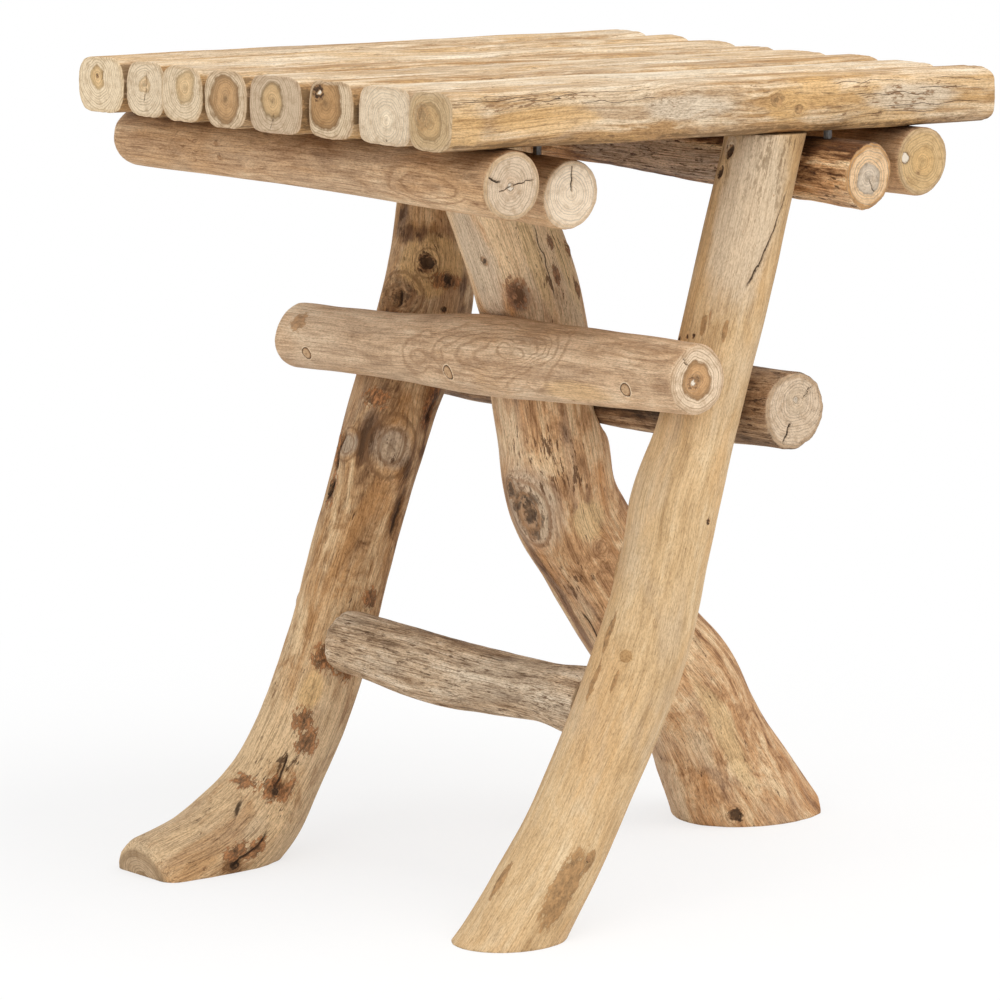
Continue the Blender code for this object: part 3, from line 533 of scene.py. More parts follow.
# How much of the wood each mark covers, and how fine noise ravels its edge
PATCH_COVER = 0.7
PALE_GAIN = 1.08
PALE_MOTTLE = 0.6
BARE_MOTTLE = 0.9
CONTOUR_COVER = 0.6
CONTOUR_WANDER = 1.6
CONTOUR_MOTTLE = 0.5
GRIT_COVER = (0.35, 0.5)
LINE_TONE = 0.5
FLECK_COVER = 0.85
DASH_CROWD = 0.14
CRUST_COVER = 0.88
CRUST_MOTTLE = 0.6
CRUST_STREAK = 0.9
# Cover, tone and ravel of the darkening by soil and painted shade
SOIL_AND_SHADE_COVER = 0.8
SOIL_AND_SHADE_TONE = 0.4
SOIL_AND_SHADE_RAVEL = (("mottle", 0.55), ("streak", 0.7), ("flake", 0.45))
HEART_GAIN = 1.18
HEART_RAVEL = (("wander", 0.010), ("ragged", 0.0026))
YEAR_TONE = 0.54
YEAR_COVER = 0.66
DIRT_COVER = 0.8
PORE_COVER = 0.55
KNOT_RING_COVER = 0.55
KNOT_RAVEL = (("mottle", 0.45), ("grit", 0.25))
CORE_RAVEL = (("flake", 1.5), ("mottle", 1.2))
KNOT_COVER = 0.85
PALE_RING_COVER = 0.7
CRACK_RAVEL = 2.0
CRACK_COVER = 0.92

# Tints by noise, which multiply the colour
WHITE = (1.0, 1.0, 1.0)
FIBRE_TINT = ((0.34, (0.36, 0.29, 0.23)), (0.53, WHITE), (0.70, (1.12, 1.12, 1.12)))
GRIT_TINT = ((0.34, (0.50, 0.44, 0.38)), (0.52, WHITE), (0.68, (1.16, 1.16, 1.16)))
DIRT_TINT = ((0.32, (0.70, 0.64, 0.57)), (0.52, WHITE), (0.7, (1.08, 1.08, 1.08)))
PORE_TINT = ((0.34, (0.55, 0.48, 0.41)), (0.5, WHITE), (0.7, (1.12, 1.12, 1.12)))

# Surface of the woods: weights of the noise in the bump, depth of each mark there, roughness and gloss
BUMP_NOISE = (("fibre", 0.5), ("grit", 0.4), ("streak", 0.4))
BUMP_MARKS = (
    ("gap", -1.2), ("fleck", -0.5), ("line", -0.5), ("core", -0.4), ("pit", -0.8), ("contour", -0.15),
    ("crust", 0.5),
)
BUMP_STRENGTH = (0.15, 0.55)
BUMP_DISTANCE = 0.0014
WOOD_ROUGHNESS = (0.88, -0.25)
WOOD_GLOSS = 0.25

# Plugs: what carries them, the profile from the middle out (reach and rise, in millimetres), tones by reach
PLUG_CARRIERS = {
    "rail_plug_left": "cross_rail_left",
    "rail_plug_right": "cross_rail_right",
    "stretcher_plug_back": "leg_back",
    "stretcher_plug_front": "leg_front",
}
PLUG_SIDES = 36
PLUG_LIP = 0.0048
PLUG_PROFILE = (
    (0, 0.5), (1, 0.5), (2, 0.46), (2.8, 0.38), (3.2, 0.22), (3.4, 0.08), (3.7, 0.08), (3.9, 0.22),
    (4.3, 0.16), (4.8, -0.3), (4, -3), (0, -3),
)
PLUG_TONES = (
    (0.0, (0.50, 0.32, 0.175)), (0.45, (0.58, 0.385, 0.22)), (0.66, (0.36, 0.21, 0.105)),
    (0.71, (0.07, 0.035, 0.016)), (0.77, (0.10, 0.05, 0.024)), (0.83, (0.80, 0.62, 0.42)),
    (1.0, (0.64, 0.45, 0.285)),
)
PLAIN_PLUG = "stretcher_plug_front"
PLAIN_PLUG_TONES = (
    (0.0, (0.44, 0.26, 0.11)), (0.72, (0.46, 0.275, 0.12)), (0.86, (0.60, 0.40, 0.20)),
    (1.0, (0.68, 0.47, 0.255)),
)
PLUG_LAYER = ((900.0, 900.0, 900.0), 4.0, 0.65)
PLUG_RAVEL = 0.16
PLUG_TINT = ((0.34, (0.55, 0.46, 0.38)), (0.52, WHITE), (0.7, (1.15, 1.15, 1.15)))
PLUG_TINT_COVER = 0.8
PLUG_ROUGHNESS = (0.65, 0.2)
PLUG_BUMP = (0.3, 0.0005)

# Brushed steel of the screws
STEEL_LAYER = ((900.0, 900.0, 300.0), 3.0, 0.6)
STEEL_TONES = ((0.3, (0.09, 0.085, 0.08)), (0.7, (0.30, 0.29, 0.28)))
STEEL_ROUGHNESS = (0.3, 0.3)

# Studio: place, size, power and colour of the lamps, light of the surroundings, floor
LIGHT_TARGET = (0.0, 0.0, 0.25)
LIGHTS = {
    "key": ((0.5, -1.3, 2.7), 2.0, 34.0, (1.0, 0.985, 0.96)),
    "fill": ((-2.6, -0.9, 1.5), 1.8, 16.0, (0.98, 0.99, 1.0)),
}
WORLD_LEVEL = 0.78
FLOOR_SIZE = 12.0
FLOOR_DROP = 0.0002
FLOOR_LAYER = ((30.0, 30.0, 30.0), 2.0, 0.5)
FLOOR_TONES = ((0.0, (0.94, 0.94, 0.94)), (1.0, (0.9588, 0.9588, 0.9588)))
FLOOR_ROUGHNESS = 0.9
FADE = (0.25, 0.75)
NEAR_WHITE = 0.7
BACKGROUND_RAYS = ("Camera", "Glossy", "Transmission")


class Camera:
    """The photograph's camera in the frame of the CAD."""

    def __init__(self):
        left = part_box("seat_slat_8")[0].x + FRONT_SLAT_LEFT
        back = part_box("seat_slat_1")[1].y - BACK_SLAT_EDGE
        self.seat = Vector((left, back, 0))
        self.place = self.seat + Vector(CAMERA_FROM_SEAT)
        level = Vector((math.sin(AZIMUTH), math.cos(AZIMUTH), 0))
        self.ahead = math.cos(ELEVATION) * level - math.sin(ELEVATION) * Vector((0, 0, 1))
        right = Vector((math.cos(AZIMUTH), -math.sin(AZIMUTH), 0))
        up = right.cross(self.ahead)
        self.right = math.cos(ROLL) * right + math.sin(ROLL) * up
        self.up = math.cos(ROLL) * up - math.sin(ROLL) * right

    def ray(self, pixel):
        """Direction from the camera through a pixel of the photograph."""
        across = (pixel[0] - PHOTO_PIXELS / 2) / FOCAL_PIXELS
        down = (pixel[1] - PHOTO_PIXELS / 2) / FOCAL_PIXELS
        return (self.ahead + across * self.right - down * self.up).normalized()

    def add(self):
        data = bpy.data.cameras.new("camera")
        data.sensor_width = SENSOR_WIDTH
        data.lens = FOCAL_PIXELS / PHOTO_PIXELS * SENSOR_WIDTH
        item = bpy.data.objects.new("camera", data)
        turn = Matrix((self.right, self.up, -self.ahead)).transposed()
        item.matrix_world = Matrix.Translation(self.place) @ turn.to_4x4()
        bpy.context.scene.collection.objects.link(item)
        bpy.context.scene.camera = item


def eased(value):
    """0 below 0, 1 above 1 and a smooth step between."""
    value = np.clip(value, 0, 1)
    return value * value * (3 - 2 * value)


def bell(value):
    """1 at 0, falling off smoothly to both sides."""
    return np.exp(-(value**2))


def wrapped(angle):
    """The same direction as an angle from -pi to pi."""
    return (angle + math.pi) % (2 * math.pi) - math.pi


def run_of(points):
    """Length of the way along the points up to each of them."""
    return np.concatenate([[0], np.cumsum(np.linalg.norm(np.diff(points, axis=0), axis=1))])


def polar(radius, angle):
    """Places across and up from the middle."""
    return np.column_stack([radius * np.cos(angle), radius * np.sin(angle)])


def full_turn(sides):
    """Evenly spaced angles of a full turn."""
    return np.linspace(0, 2 * math.pi, sides, endpoint=False)


def lattice_noise(places, seed):
    """Smooth random values from -1 to 1 at the places, one random value per unit cell corner."""
    base = np.floor(places).astype(np.int64)
    share = eased(places - base)
    total = np.zeros(len(places))
    for corner in range(8):
        offset = np.array([(corner >> axis) & 1 for axis in range(3)])
        weight = np.prod(np.where(offset, share, 1 - share), axis=1)
        code = np.bitwise_xor.reduce((base + offset) * LATTICE_PRIMES, axis=1)
        code = (code ^ seed * SEED_PRIME) & WORD
        code = ((code ^ (code >> MIX_SHIFTS[0])) * MIX_PRIME) & WORD
        code = code ^ (code >> MIX_SHIFTS[1])
        total += weight * (code / HALF_WORD - 1)
    return total


def layered_noise(places, seed, layers):
    """Several sizes of lattice noise on top of one another."""
    total = np.zeros(len(places))
    for layer in range(layers):
        total += 0.5**layer * lattice_noise(places * 2**layer + LAYER_OFFSET * layer, seed + layer)
    return total


def smooth_line(stations):
    """Points and radii along a curve through the stations, LINE_STEP apart, and how far along they are."""
    rows = np.array(stations)
    padded = np.vstack([2 * rows[0] - rows[1], rows, 2 * rows[-1] - rows[-2]])
    share = np.linspace(0, 1, SPLINE_STEPS, endpoint=False)[:, None]
    parts = []
    for index in range(1, len(padded) - 2):
        before, start, stop, after = padded[index - 1 : index + 3]
        slope = stop - before
        curve = 2 * before - 5 * start + 4 * stop - after
        twist = 3 * start - before - 3 * stop + after
        parts.append(0.5 * (2 * start + slope * share + curve * share**2 + twist * share**3))
    dense = np.vstack([*parts, rows[-1:]])
    run = run_of(dense[:, :3])
    marks = np.linspace(0, run[-1], int(run[-1] / LINE_STEP) + 1)
    return np.column_stack([np.interp(marks, run, column) for column in dense.T]), marks


def blur(grid, along, around):
    """Gaussian smoothing of a grid whose second direction closes on itself."""
    for axis, width, mode in ((0, along, "edge"), (1, around, "wrap")):
        reach = int(3 * width + 1)
        weights = np.exp(-0.5 * (np.arange(-reach, reach + 1) / width) ** 2)
        weights /= weights.sum()
        pad = [(0, 0), (0, 0)]
        pad[axis] = (reach, reach)
        wide = np.pad(grid, pad, mode=mode)
        cells = np.arange(grid.shape[axis])
        grid = sum(weight * np.take(wide, start + cells, axis=axis) for start, weight in enumerate(weights))
    return grid


def median(grid, along, around):
    """Middle value of the cells near each cell, which fills small holes."""
    wide = np.pad(grid, [(along, along), (0, 0)], mode="edge")
    wide = np.pad(wide, [(0, 0), (around, around)], mode="wrap")
    rows, columns = grid.shape
    views = [
        wide[row : row + rows, column : column + columns]
        for row in range(2 * along + 1)
        for column in range(2 * around + 1)
    ]
    return np.median(np.stack(views), axis=0)


def tree_of(mesh):
    """The faces of a mesh, sorted for ray casts."""
    corners = [tuple(vertex.co) for vertex in mesh.vertices]
    return BVHTree.FromPolygons(corners, [tuple(face.vertices) for face in mesh.polygons])


class Branch:
    """One wooden piece: its CAD mesh, its centre line, the grid of places on its surface, and its marks."""

    def __init__(self, node, seed, line, marks, angles, rounds, skips, ray_start=RAY_START):
        self.node = node
        self.seed = seed
        self.tree = tree_of(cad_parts[node].data)
        self.line = line[:, :3]
        self.line_radius = line[:, 3]
        self.marks = marks
        self.angles = angles
        self.rounds = rounds
        self.ray_start = ray_start
        self.stations = self.end_stations()
        self.inside = (self.stations > skips[0]) & (self.stations < marks[-1] - skips[1])
        self.along, self.angle = np.meshgrid(self.stations, angles, indexing="ij")
        self.set_frames()
        self.knots = []
        self.cracks = []
        self.patches = {}
        self.figures = []
        self.checks = []
        self.spots = []

    def end_stations(self):
        """Places along the branch, closer together where its ends are rounded."""
        start, stop = self.rounds
        length = self.marks[-1]
        steps = np.array(END_STEPS)
        count = max(int((length - start - stop) / ALONG_STEP), 2)
        middle = np.linspace(start, length - stop, count + 1)[1:-1]
        return np.concatenate([steps * start, middle, length - steps[::-1] * stop])

    def end_drop(self):
        """How far the rounded ends fall back from the full radius."""
        drop = np.zeros(len(self.stations))
        for distance, size in zip((self.stations, self.marks[-1] - self.stations), self.rounds):
            share = np.clip(1 - distance / size, 0, 1)
            drop += size * (1 - np.sqrt(1 - share**2))
        return drop[:, None]

    def set_frames(self):
        """Directions along the line and two square to it, turned as little as possible on the way."""
        ahead = np.gradient(self.line, self.marks, axis=0)
        ahead /= np.linalg.norm(ahead, axis=1)[:, None]
        side = np.zeros_like(ahead)
        guess = np.array([1.0, 0, 0]) if abs(ahead[0][0]) < NEARLY_ALONG_X else np.array([0, 1.0, 0])
        for index, direction in enumerate(ahead):
            guess = guess - guess @ direction * direction
            guess = guess / np.linalg.norm(guess)
            side[index] = guess
        self.ahead = ahead
        self.side = side
        self.other = np.cross(ahead, side)

    def at(self, marks):
        """Centre, side, other side, direction and radius of the line at the marks."""
        found = []
        for rows in (self.line, self.side, self.other, self.ahead):
            found.append(np.column_stack([np.interp(marks, self.marks, column) for column in rows.T]))
        for rows in found[1:]:
            rows /= np.linalg.norm(rows, axis=1)[:, None]
        return *found, np.interp(marks, self.marks, self.line_radius)

    def out_at(self, mark, angle):
        """Centre of the line at a mark and the direction out from it at an angle."""
        centre, side, other, _, _ = self.at(np.array([mark]))
        return Vector(centre[0]), Vector(math.cos(angle) * side[0] + math.sin(angle) * other[0])

    def measure(self, low=-math.inf, high=math.inf):
        """Radii of the CAD surface on the grid, or the line's own radius where a cut or an end is met."""
        centre, side, other, _, radius = self.at(self.stations)
        found = np.repeat(radius[:, None], len(self.angles), axis=1)
        for row in np.flatnonzero(self.inside):
            middle = Vector(centre[row])
            reach = float(radius[row] + self.ray_start)
            for column, angle in enumerate(self.angles):
                out = Vector(math.cos(angle) * side[row] + math.sin(angle) * other[row])
                hit, _, _, distance = self.tree.ray_cast(middle + reach * out, -out, reach)
                if hit is not None and low + CUT_SKIN < hit.z < high - CUT_SKIN:
                    found[row, column] = reach - distance
        return found

    def run_on(self, found):
        """The radii with those near the ends taken from the nearest row that was measured."""
        rows = np.flatnonzero(self.inside)
        return found[np.clip(np.arange(len(found)), rows[0], rows[-1])]

    def locate(self, point):
        """Mark along the line and angle round it of a point in space."""
        point = np.array(point)
        index = int(np.argmin(np.linalg.norm(self.line - point, axis=1)))
        offset = point - self.line[index]
        mark = self.marks[index] + offset @ self.ahead[index]
        return mark, math.atan2(offset @ self.other[index], offset @ self.side[index])

    def under_pixel(self, camera, pixel):
        """Mark and angle of the place that the photograph shows at a pixel."""
        direction = camera.ray(pixel)
        hit = self.tree.ray_cast(camera.place, direction)[0]
        if hit is None:
            middle = Vector(self.line.mean(axis=0))
            near = camera.place + direction * (middle - camera.place).dot(direction)
            hit = self.tree.find_nearest(near)[0]
        return self.locate(hit)

    def on_end(self, camera, pixel):
        """Place in the front or left end face, from its middle, that the photograph shows at a pixel."""
        direction = camera.ray(pixel)
        middle = Vector(self.line[0])
        square = Vector(self.ahead[0])
        distance = (middle - camera.place).dot(square) / direction.dot(square)
        offset = np.array(camera.place + distance * direction - middle)
        return offset @ self.side[0], offset @ self.other[0]

    def relief(self, heights):
        """Lumps, flutes and fibres of the surface."""
        total = np.zeros(self.along.size)
        for index, (height, (length, lobes, layers)) in enumerate(zip(heights, RELIEF_SCALES)):
            places = self.places(length, lobes) + RELIEF_OFFSET * (index + 1)
            total += height * MM * layered_noise(places, self.seed + RELIEF_SEED * index, layers)
        return total.reshape(self.along.shape)

    def places(self, length, lobes):
        """Places for noise that closes round the branch: lobes across and up, and lengths along it."""
        return np.column_stack([polar(lobes, self.angle.ravel()), self.along.ravel() / length])

    def distance(self, mark, angle, long, wide, size):
        """Distance of each place from a spot, as a share of the spot's half length and half width."""
        return np.hypot((self.along - mark) / long, wrapped(self.angle - angle) * size / wide)


def place_marks(branch, camera):
    """The marks that the photograph shows on a branch."""
    node = branch.node
    for *pixel, wide, rise, sink, hole in KNOTS.get(node, ()):
        branch.knots.append((*branch.under_pixel(camera, pixel), wide * MM, rise * MM, sink * MM, hole))
    for *pixel, long, wide, height in FIGURES.get(node, ()):
        branch.figures.append((*branch.under_pixel(camera, pixel), long * MM, wide * MM, height * MM))
    for wide, deep, *pixels in CRACKS.get(node, ()):
        marks, angles = zip(*sorted(branch.under_pixel(camera, pixel) for pixel in pixels))
        branch.cracks.append((marks, np.unwrap(angles), wide * MM, deep * MM))
    for kind, rows in PATCHES.get(node, {}).items():
        for *pixel, long, wide in rows:
            add_patch(branch, kind, *branch.under_pixel(camera, pixel), long * MM, wide * MM)
    for degrees, start, stop, wide in END_CHECKS.get(node, ()):
        tilt = math.radians(degrees)
        sideways = math.sin(tilt)
        across = (0, -sideways) if node in SLATS else (sideways, 0)
        direction = np.array([*across, math.cos(tilt)])
        angle = math.atan2(direction @ branch.other[0], direction @ branch.side[0])
        branch.checks.append((angle, start, stop, wide * MM))
    for *pixel, wide, hole in END_SPOTS.get(node, ()):
        branch.spots.append((*branch.on_end(camera, pixel), wide * MM, hole))


def add_patch(branch, kind, *sizes):
    branch.patches.setdefault(kind, []).append(sizes)


def place_hidden(branch, camera):
    """Seeded knots, cracks and patches on the sides that face away from the camera."""
    chance = np.random.default_rng(SEED + branch.seed)
    slat = branch.node in SLATS
    for _ in range(1 if slat else HIDDEN_KNOTS):
        place = away_place(branch, camera, chance)
        wide = chance.uniform(*HIDDEN_KNOT_RADIUS)
        hole = chance.uniform(*HIDDEN_KNOT_HOLE)
        branch.knots.append((*place, wide, HIDDEN_KNOT_RIM * wide, HIDDEN_KNOT_SINK * wide, hole))
    for _ in range(1 if slat else HIDDEN_CRACKS):
        mark, angle = away_place(branch, camera, chance)
        long = chance.uniform(*HIDDEN_CRACK_LENGTH)
        bend = chance.uniform(*HIDDEN_CRACK_BEND)
        branch.cracks.append(((mark, mark + long), (angle, angle + bend), *HIDDEN_CRACK_SIZE))
    for kind in () if slat else HIDDEN_PATCHES:
        place = away_place(branch, camera, chance)
        long = chance.uniform(*HIDDEN_PATCH_LENGTH)
        wide = chance.uniform(*HIDDEN_PATCH_WIDTH)
        add_patch(branch, kind, *place, long, wide)


def away_place(branch, camera, chance):
    """A mark and an angle where the surface faces away from the camera."""
    while True:
        mark = chance.uniform(*AWAY_MARKS) * branch.marks[-1]
        angle = chance.uniform(-math.pi, math.pi)
        if branch.out_at(mark, angle)[1].dot(camera.ahead) > AWAY_FACING:
            return mark, angle


def press_knots(branch, radius, size):
    """Radii with the knots, the turn of the grain, the distance from the nearest knot, and its hole."""
    nearest = np.full(radius.shape, KNOT_FAR)
    holes = np.zeros(radius.shape)
    turn = np.zeros(radius.shape)
    rim, rim_width = KNOT_RIM
    bend, bend_reach = KNOT_TURN
    for mark, angle, wide, rise, sink, hole in branch.knots:
        distance = branch.distance(mark, angle, KNOT_STRETCH * wide, wide, size)
        radius = radius + rise * bell((distance - rim) / rim_width) - sink * bell(distance / KNOT_MIDDLE)
        if wide < SMALL_KNOT:
            distance = np.where(distance > 1, 1 + SMALL_KNOT_FALL * (distance - 1), distance)
        holes = np.where(distance < nearest, hole, holes)
        nearest = np.minimum(nearest, distance)
        turn -= wrapped(branch.angle - angle) * bend * bell(distance / bend_reach)
    return radius, turn, nearest, holes


def press_cracks(branch, radius, size):
    """Radii with the cracks, the distance from a crack in half widths and how far it is open, by lane."""
    split = np.ones((*radius.shape, CRACK_LANES))
    opened = np.zeros((*radius.shape, CRACK_LANES))
    stations = branch.stations
    for index, (marks, angles, wide, deep) in enumerate(branch.cracks):
        places = [(station / CRACK_BEND_LENGTH, index + 0.5, 0.0) for station in stations]
        wander = layered_noise(np.array(places), branch.seed + CRACK_SEED, 2)
        path = np.interp(stations, marks, angles) + wander * CRACK_WANDER / size
        side = wrapped(branch.angle - path[:, None]) * size / wide
        start = eased((branch.along - marks[0]) / CRACK_TAPER)
        ends = start * eased((marks[-1] - branch.along) / CRACK_TAPER)
        lane = index % CRACK_LANES
        nearer = (np.abs(side) < np.abs(split[..., lane])) & (ends > 0) | (opened[..., lane] == 0)
        split[..., lane] = np.where(nearer, side, split[..., lane])
        opened[..., lane] = np.where(nearer, ends, opened[..., lane])
        radius = radius - deep * ends * bell(side)
    return radius, split, opened


def patch_share(branch, kind, size):
    """How far each place lies inside the patches of a kind, from 0 at their reach to 1 in their middle."""
    found = np.zeros(branch.along.shape)
    for sizes in branch.patches.get(kind, ()):
        found = np.maximum(found, np.clip(1 - branch.distance(*sizes, size) / PATCH_REACH, 0, 1))
    return found


def figure_lift(branch, size):
    """Height of the growth figures, whose contours the material draws."""
    lift = np.zeros(branch.along.shape)
    bends = branch.angle.ravel() * FIGURE_BEND_LOBES
    places = np.column_stack([branch.along.ravel() / FIGURE_BEND_LENGTH, bends, 0 * bends])
    bend = 1 + FIGURE_BEND * layered_noise(places, branch.seed, 3).reshape(lift.shape)
    for *sizes, height in branch.figures:
        lift += height * bell(branch.distance(*sizes, size) * bend)
    return lift


def side_values(branch, radius, caps):
    """Values at every place of the side, by name, with the marks pressed into its radii."""
    size = radius.mean()
    radius, turn, knots, holes = press_knots(branch, radius, size)
    radius, split, opened = press_cracks(branch, radius, size)
    patch = {kind: patch_share(branch, kind, size) for kind in ("bark", "bare", "grey", "dash", "soil_and_shade")}
    along_first = np.roll(branch.places(CRUST_LENGTH, CRUST_LOBES), 1, axis=1)
    crust = layered_noise(along_first, branch.seed + CRUST_SEED, 2).reshape(radius.shape)
    bark, bare = (eased(patch[kind] * PATCH_STEEP - PATCH_START) for kind in ("bark", "bare"))
    radius = radius + BARK_RISE * (1 + CRUST_SWING * crust) * bark - BARE_SINK * bare
    end = np.zeros(radius.shape)
    for cap in caps:
        end[np.abs(branch.stations - branch.stations[-cap]) < RIM_DEPTH] = 1
    return {
        "along": branch.along,
        "angle": branch.angle,
        "turn": branch.angle + turn,
        "radius": radius,
        "lift": figure_lift(branch, size),
        "mark": np.stack([knots, holes, patch["dash"]], axis=-1),
        "patch": np.stack([patch["bark"], patch["bare"], patch["grey"]], axis=-1),
        "split": split,
        "opened": opened,
        "end": end,
        "share": np.ones(radius.shape),
        # The dark patches lower the tone: partly soil, partly painted shade
        "soil_and_shade": SOIL_AND_SHADE_SHIFT * patch["soil_and_shade"],
    }


def plain_values(count):
    """Values at places of a sawn end without marks, by name."""
    found = {name: np.zeros(count) for name in ("along", "angle", "turn", "radius", "lift", "share", "soil_and_shade")}
    found.update({name: np.zeros((count, CRACK_LANES)) for name in ("mark", "patch", "split", "opened")})
    found["mark"][:, 0] = KNOT_FAR
    found["split"] += 1
    found["end"] = np.ones(count)
    return found


def cap_values(branch, rim, cap, share):
    """Values at one ring of a sawn end, a share of the way out to its rim, with checks and spots cut in."""
    angles = branch.angles
    places = rim["radius"] * share
    across, up = polar(places, angles).T
    edge = rim["along"]
    found = plain_values(len(angles))
    found.update(angle=angles, turn=angles, radius=places, lift=rim["lift"] * share)
    found["share"] += share
    rough = np.column_stack([across, up, edge]) * CAP_ROUGHNESS + (0, 0, CAP_ROUGH_OFFSET)
    depth = CAP_ROUGH_DEPTH * layered_noise(rough, branch.seed + CAP_SEED, 2) + CAP_DISH * (1 - share)
    if cap == 0:
        for lane, (angle, start, stop, wide) in enumerate(branch.checks):
            along = across * math.cos(angle) + up * math.sin(angle)
            bends = lattice_noise(np.column_stack([along * CHECK_BENDS, edge, edge]), branch.seed + lane)
            side = (up * math.cos(angle) - across * math.sin(angle) + CHECK_WANDER * bends) / wide
            reach = along / rim["radius"].mean()
            ends = eased((reach - start) / CHECK_TAPER) * eased((stop - reach) / CHECK_TAPER + 0.5)
            found["split"][:, lane] = side
            found["opened"][:, lane] = ends
            depth = depth + CHECK_DEPTH * ends * bell(side)
        for place, height, wide, hole in branch.spots:
            distance = np.hypot(across - place, up - height) / wide
            nearer = (distance < found["mark"][:, 0]) | ((hole < 0) & (distance < 1))
            found["mark"][nearer, 0] = distance[nearer]
            found["mark"][nearer, 1] = hole
            depth = depth + SPOT_DEPTH * wide * max(hole, 0) * bell(distance / SPOT_WIDTH)
    found["along"] = edge + depth if cap == 0 else edge - depth
    return found


def ring_faces(first, second, sides):
    """Faces between two rings of points, by the numbers of their first points."""
    ring = np.arange(sides)
    after = (ring + 1) % sides
    return np.column_stack([first + ring, first + after, second + after, second + ring])


def grid_values(branch, radius, caps):
    """Values at every point of a branch, by name, and its faces: the side, then its closed ends."""
    side = side_values(branch, radius, caps)
    count, sides = radius.shape
    parts = [{name: rows.reshape(count * sides, *rows.shape[2:]) for name, rows in side.items()}]
    faces = [ring_faces(row * sides, (row + 1) * sides, sides) for row in range(count - 1)]
    fans = []
    total = count * sides
    for cap in caps:
        rim = {name: rows[-cap] for name, rows in side.items()}
        previous = (count - 1) * sides if cap else 0
        for share in np.linspace(1, 0, CAP_RINGS + 1)[1:-1]:
            parts.append(cap_values(branch, rim, cap, share))
            faces.append(ring_faces(previous, total, sides)[:, CAP_CORNERS[cap]])
            previous = total
            total += sides
        middle = plain_values(1)
        middle["along"] += parts[-1]["along"].mean()
        parts.append(middle)
        fan = ring_faces(previous, total, sides)[:, FAN_CORNERS[cap]]
        fan[:, 1] = total
        fans += fan.tolist()
        total += 1
    joined = {name: np.concatenate([part[name] for part in parts]) for name in side}
    return joined, np.concatenate(faces).tolist() + fans


def build(branch, radius, caps):
    """A mesh from the grid of radii and its caps, with the values for the material."""
    values, faces = grid_values(branch, radius, caps)
    along = values["along"]
    within = np.clip(along, branch.marks[0], branch.marks[-1])
    centre, side, other, ahead, _ = branch.at(within)
    across, up = polar(values["radius"], values["angle"]).T[:, :, None]
    points = centre + (along - within)[:, None] * ahead + across * side + up * other
    mesh = bpy.data.meshes.new(branch.node)
    mesh.from_pydata(points.tolist(), [], faces)
    pith = pith_offset(branch, along)
    lift = values["lift"]
    wood = polar(values["radius"], values["turn"]) - pith
    grown = polar(values["radius"] + lift, values["turn"]) - pith
    # Shift of tone: slat and leg tones, painted shade on slat sides, undersides and bearer tops, and the
    # dark patches, partly soil and partly painted shade
    shift = tone_and_painted_shade(branch.node, points) + values["soil_and_shade"]
    for name in ("mark", "patch", "split", "opened"):
        set_values(mesh, name, values[name])
    set_values(mesh, "grain", np.column_stack([wood, along]) + branch.seed * GRAIN_STEP)
    set_values(mesh, "pith", np.column_stack([grown, lift]))
    set_values(mesh, "face", np.column_stack([values["end"], values["share"], shift]))
    return mesh


def set_values(mesh, name, rows):
    layer = mesh.attributes.new(name, "FLOAT_VECTOR", "POINT")
    layer.data.foreach_set("vector", np.asarray(rows, np.float32).ravel())


def add_look(node, mesh, material):
    """A mesh as the piece that is seen in place of a CAD node."""
    mesh.polygons.foreach_set("use_smooth", np.ones(len(mesh.polygons), bool))
    mesh.materials.append(material)
    item = bpy.data.objects.new(node + "_look", mesh)
    bpy.context.scene.collection.objects.link(item)
    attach(item, "root")
    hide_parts(node)


def tone_and_painted_shade(node, points):
    """Painted shade and tones: brown bark and painted shade on the slat sides that face each other, painted
    shade under the slats and on the bearer tops, the tone of each slat, and darker and lighter lengths of
    the legs.
    """
    low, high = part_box(node)
    if node in SLATS:
        # Brown bark and painted shade on the slat sides that face a neighbour
        deep, strength = SLAT_SIDE_BARK_AND_SHADE
        towards_back = eased((points[:, 1] - high.y) / deep + 1) * (node != SLATS[0])
        towards_front = eased((low.y - points[:, 1]) / deep + 1) * (node != SLATS[-1])
        shade = strength * np.maximum(towards_back, towards_front)
        # Painted shade on the underside of each slat
        deep, strength = SLAT_UNDER_SHADE
        under = strength * eased((low.z - points[:, 2]) / deep + 1)
        return SLAT_TONES[SLATS.index(node)] - np.maximum(shade, under)
    if node.startswith("bearer"):
        # Painted shade on the top of each bearer, under the slats
        deep, strength = BEARER_TOP_SHADE[node.rsplit("_", 1)[1]]
        return -strength * eased((points[:, 2] - high.z) / deep + 1)
    heights, shifts = zip(*TONES_ALONG.get(node, ((0.0, 0.0),)))
    return np.interp(points[:, 2], heights, shifts)


def pith_offset(branch, marks):
    """Place of the heart of the wood from the middle: as seen at the front or left end, then wandering."""
    wander = SLAT_PITH_WANDER if branch.node in SLATS else PITH_WANDER
    steps = np.append(marks, 0.0) / PITH_LENGTH
    found = []
    for place, lane in zip(ENDS.get(branch.node, ENDS["plain"])[4], PITH_LANES):
        places = np.column_stack([steps, np.full(len(steps), lane), np.zeros(len(steps))])
        drift = layered_noise(places, branch.seed + PITH_SEED, 2)
        found.append(place * MM + wander * (drift[:-1] - drift[-1]))
    return np.column_stack(found)


def cut_level(mesh, height, normal):
    """Cuts off what lies beyond a level and closes the mesh there with a flat face."""
    form = bmesh.new()
    form.from_mesh(mesh)
    parts = form.verts[:] + form.edges[:] + form.faces[:]
    plane = {"plane_co": (0, 0, height), "plane_no": (0, 0, normal)}
    bmesh.ops.bisect_plane(form, geom=parts, dist=CUT_MERGE, clear_outer=True, **plane)
    rim = [edge for edge in form.edges if edge.is_boundary]
    made = bmesh.ops.holes_fill(form, edges=rim, sides=0)["faces"]
    bmesh.ops.triangulate(form, faces=made)
    form.to_mesh(mesh)
    form.free()


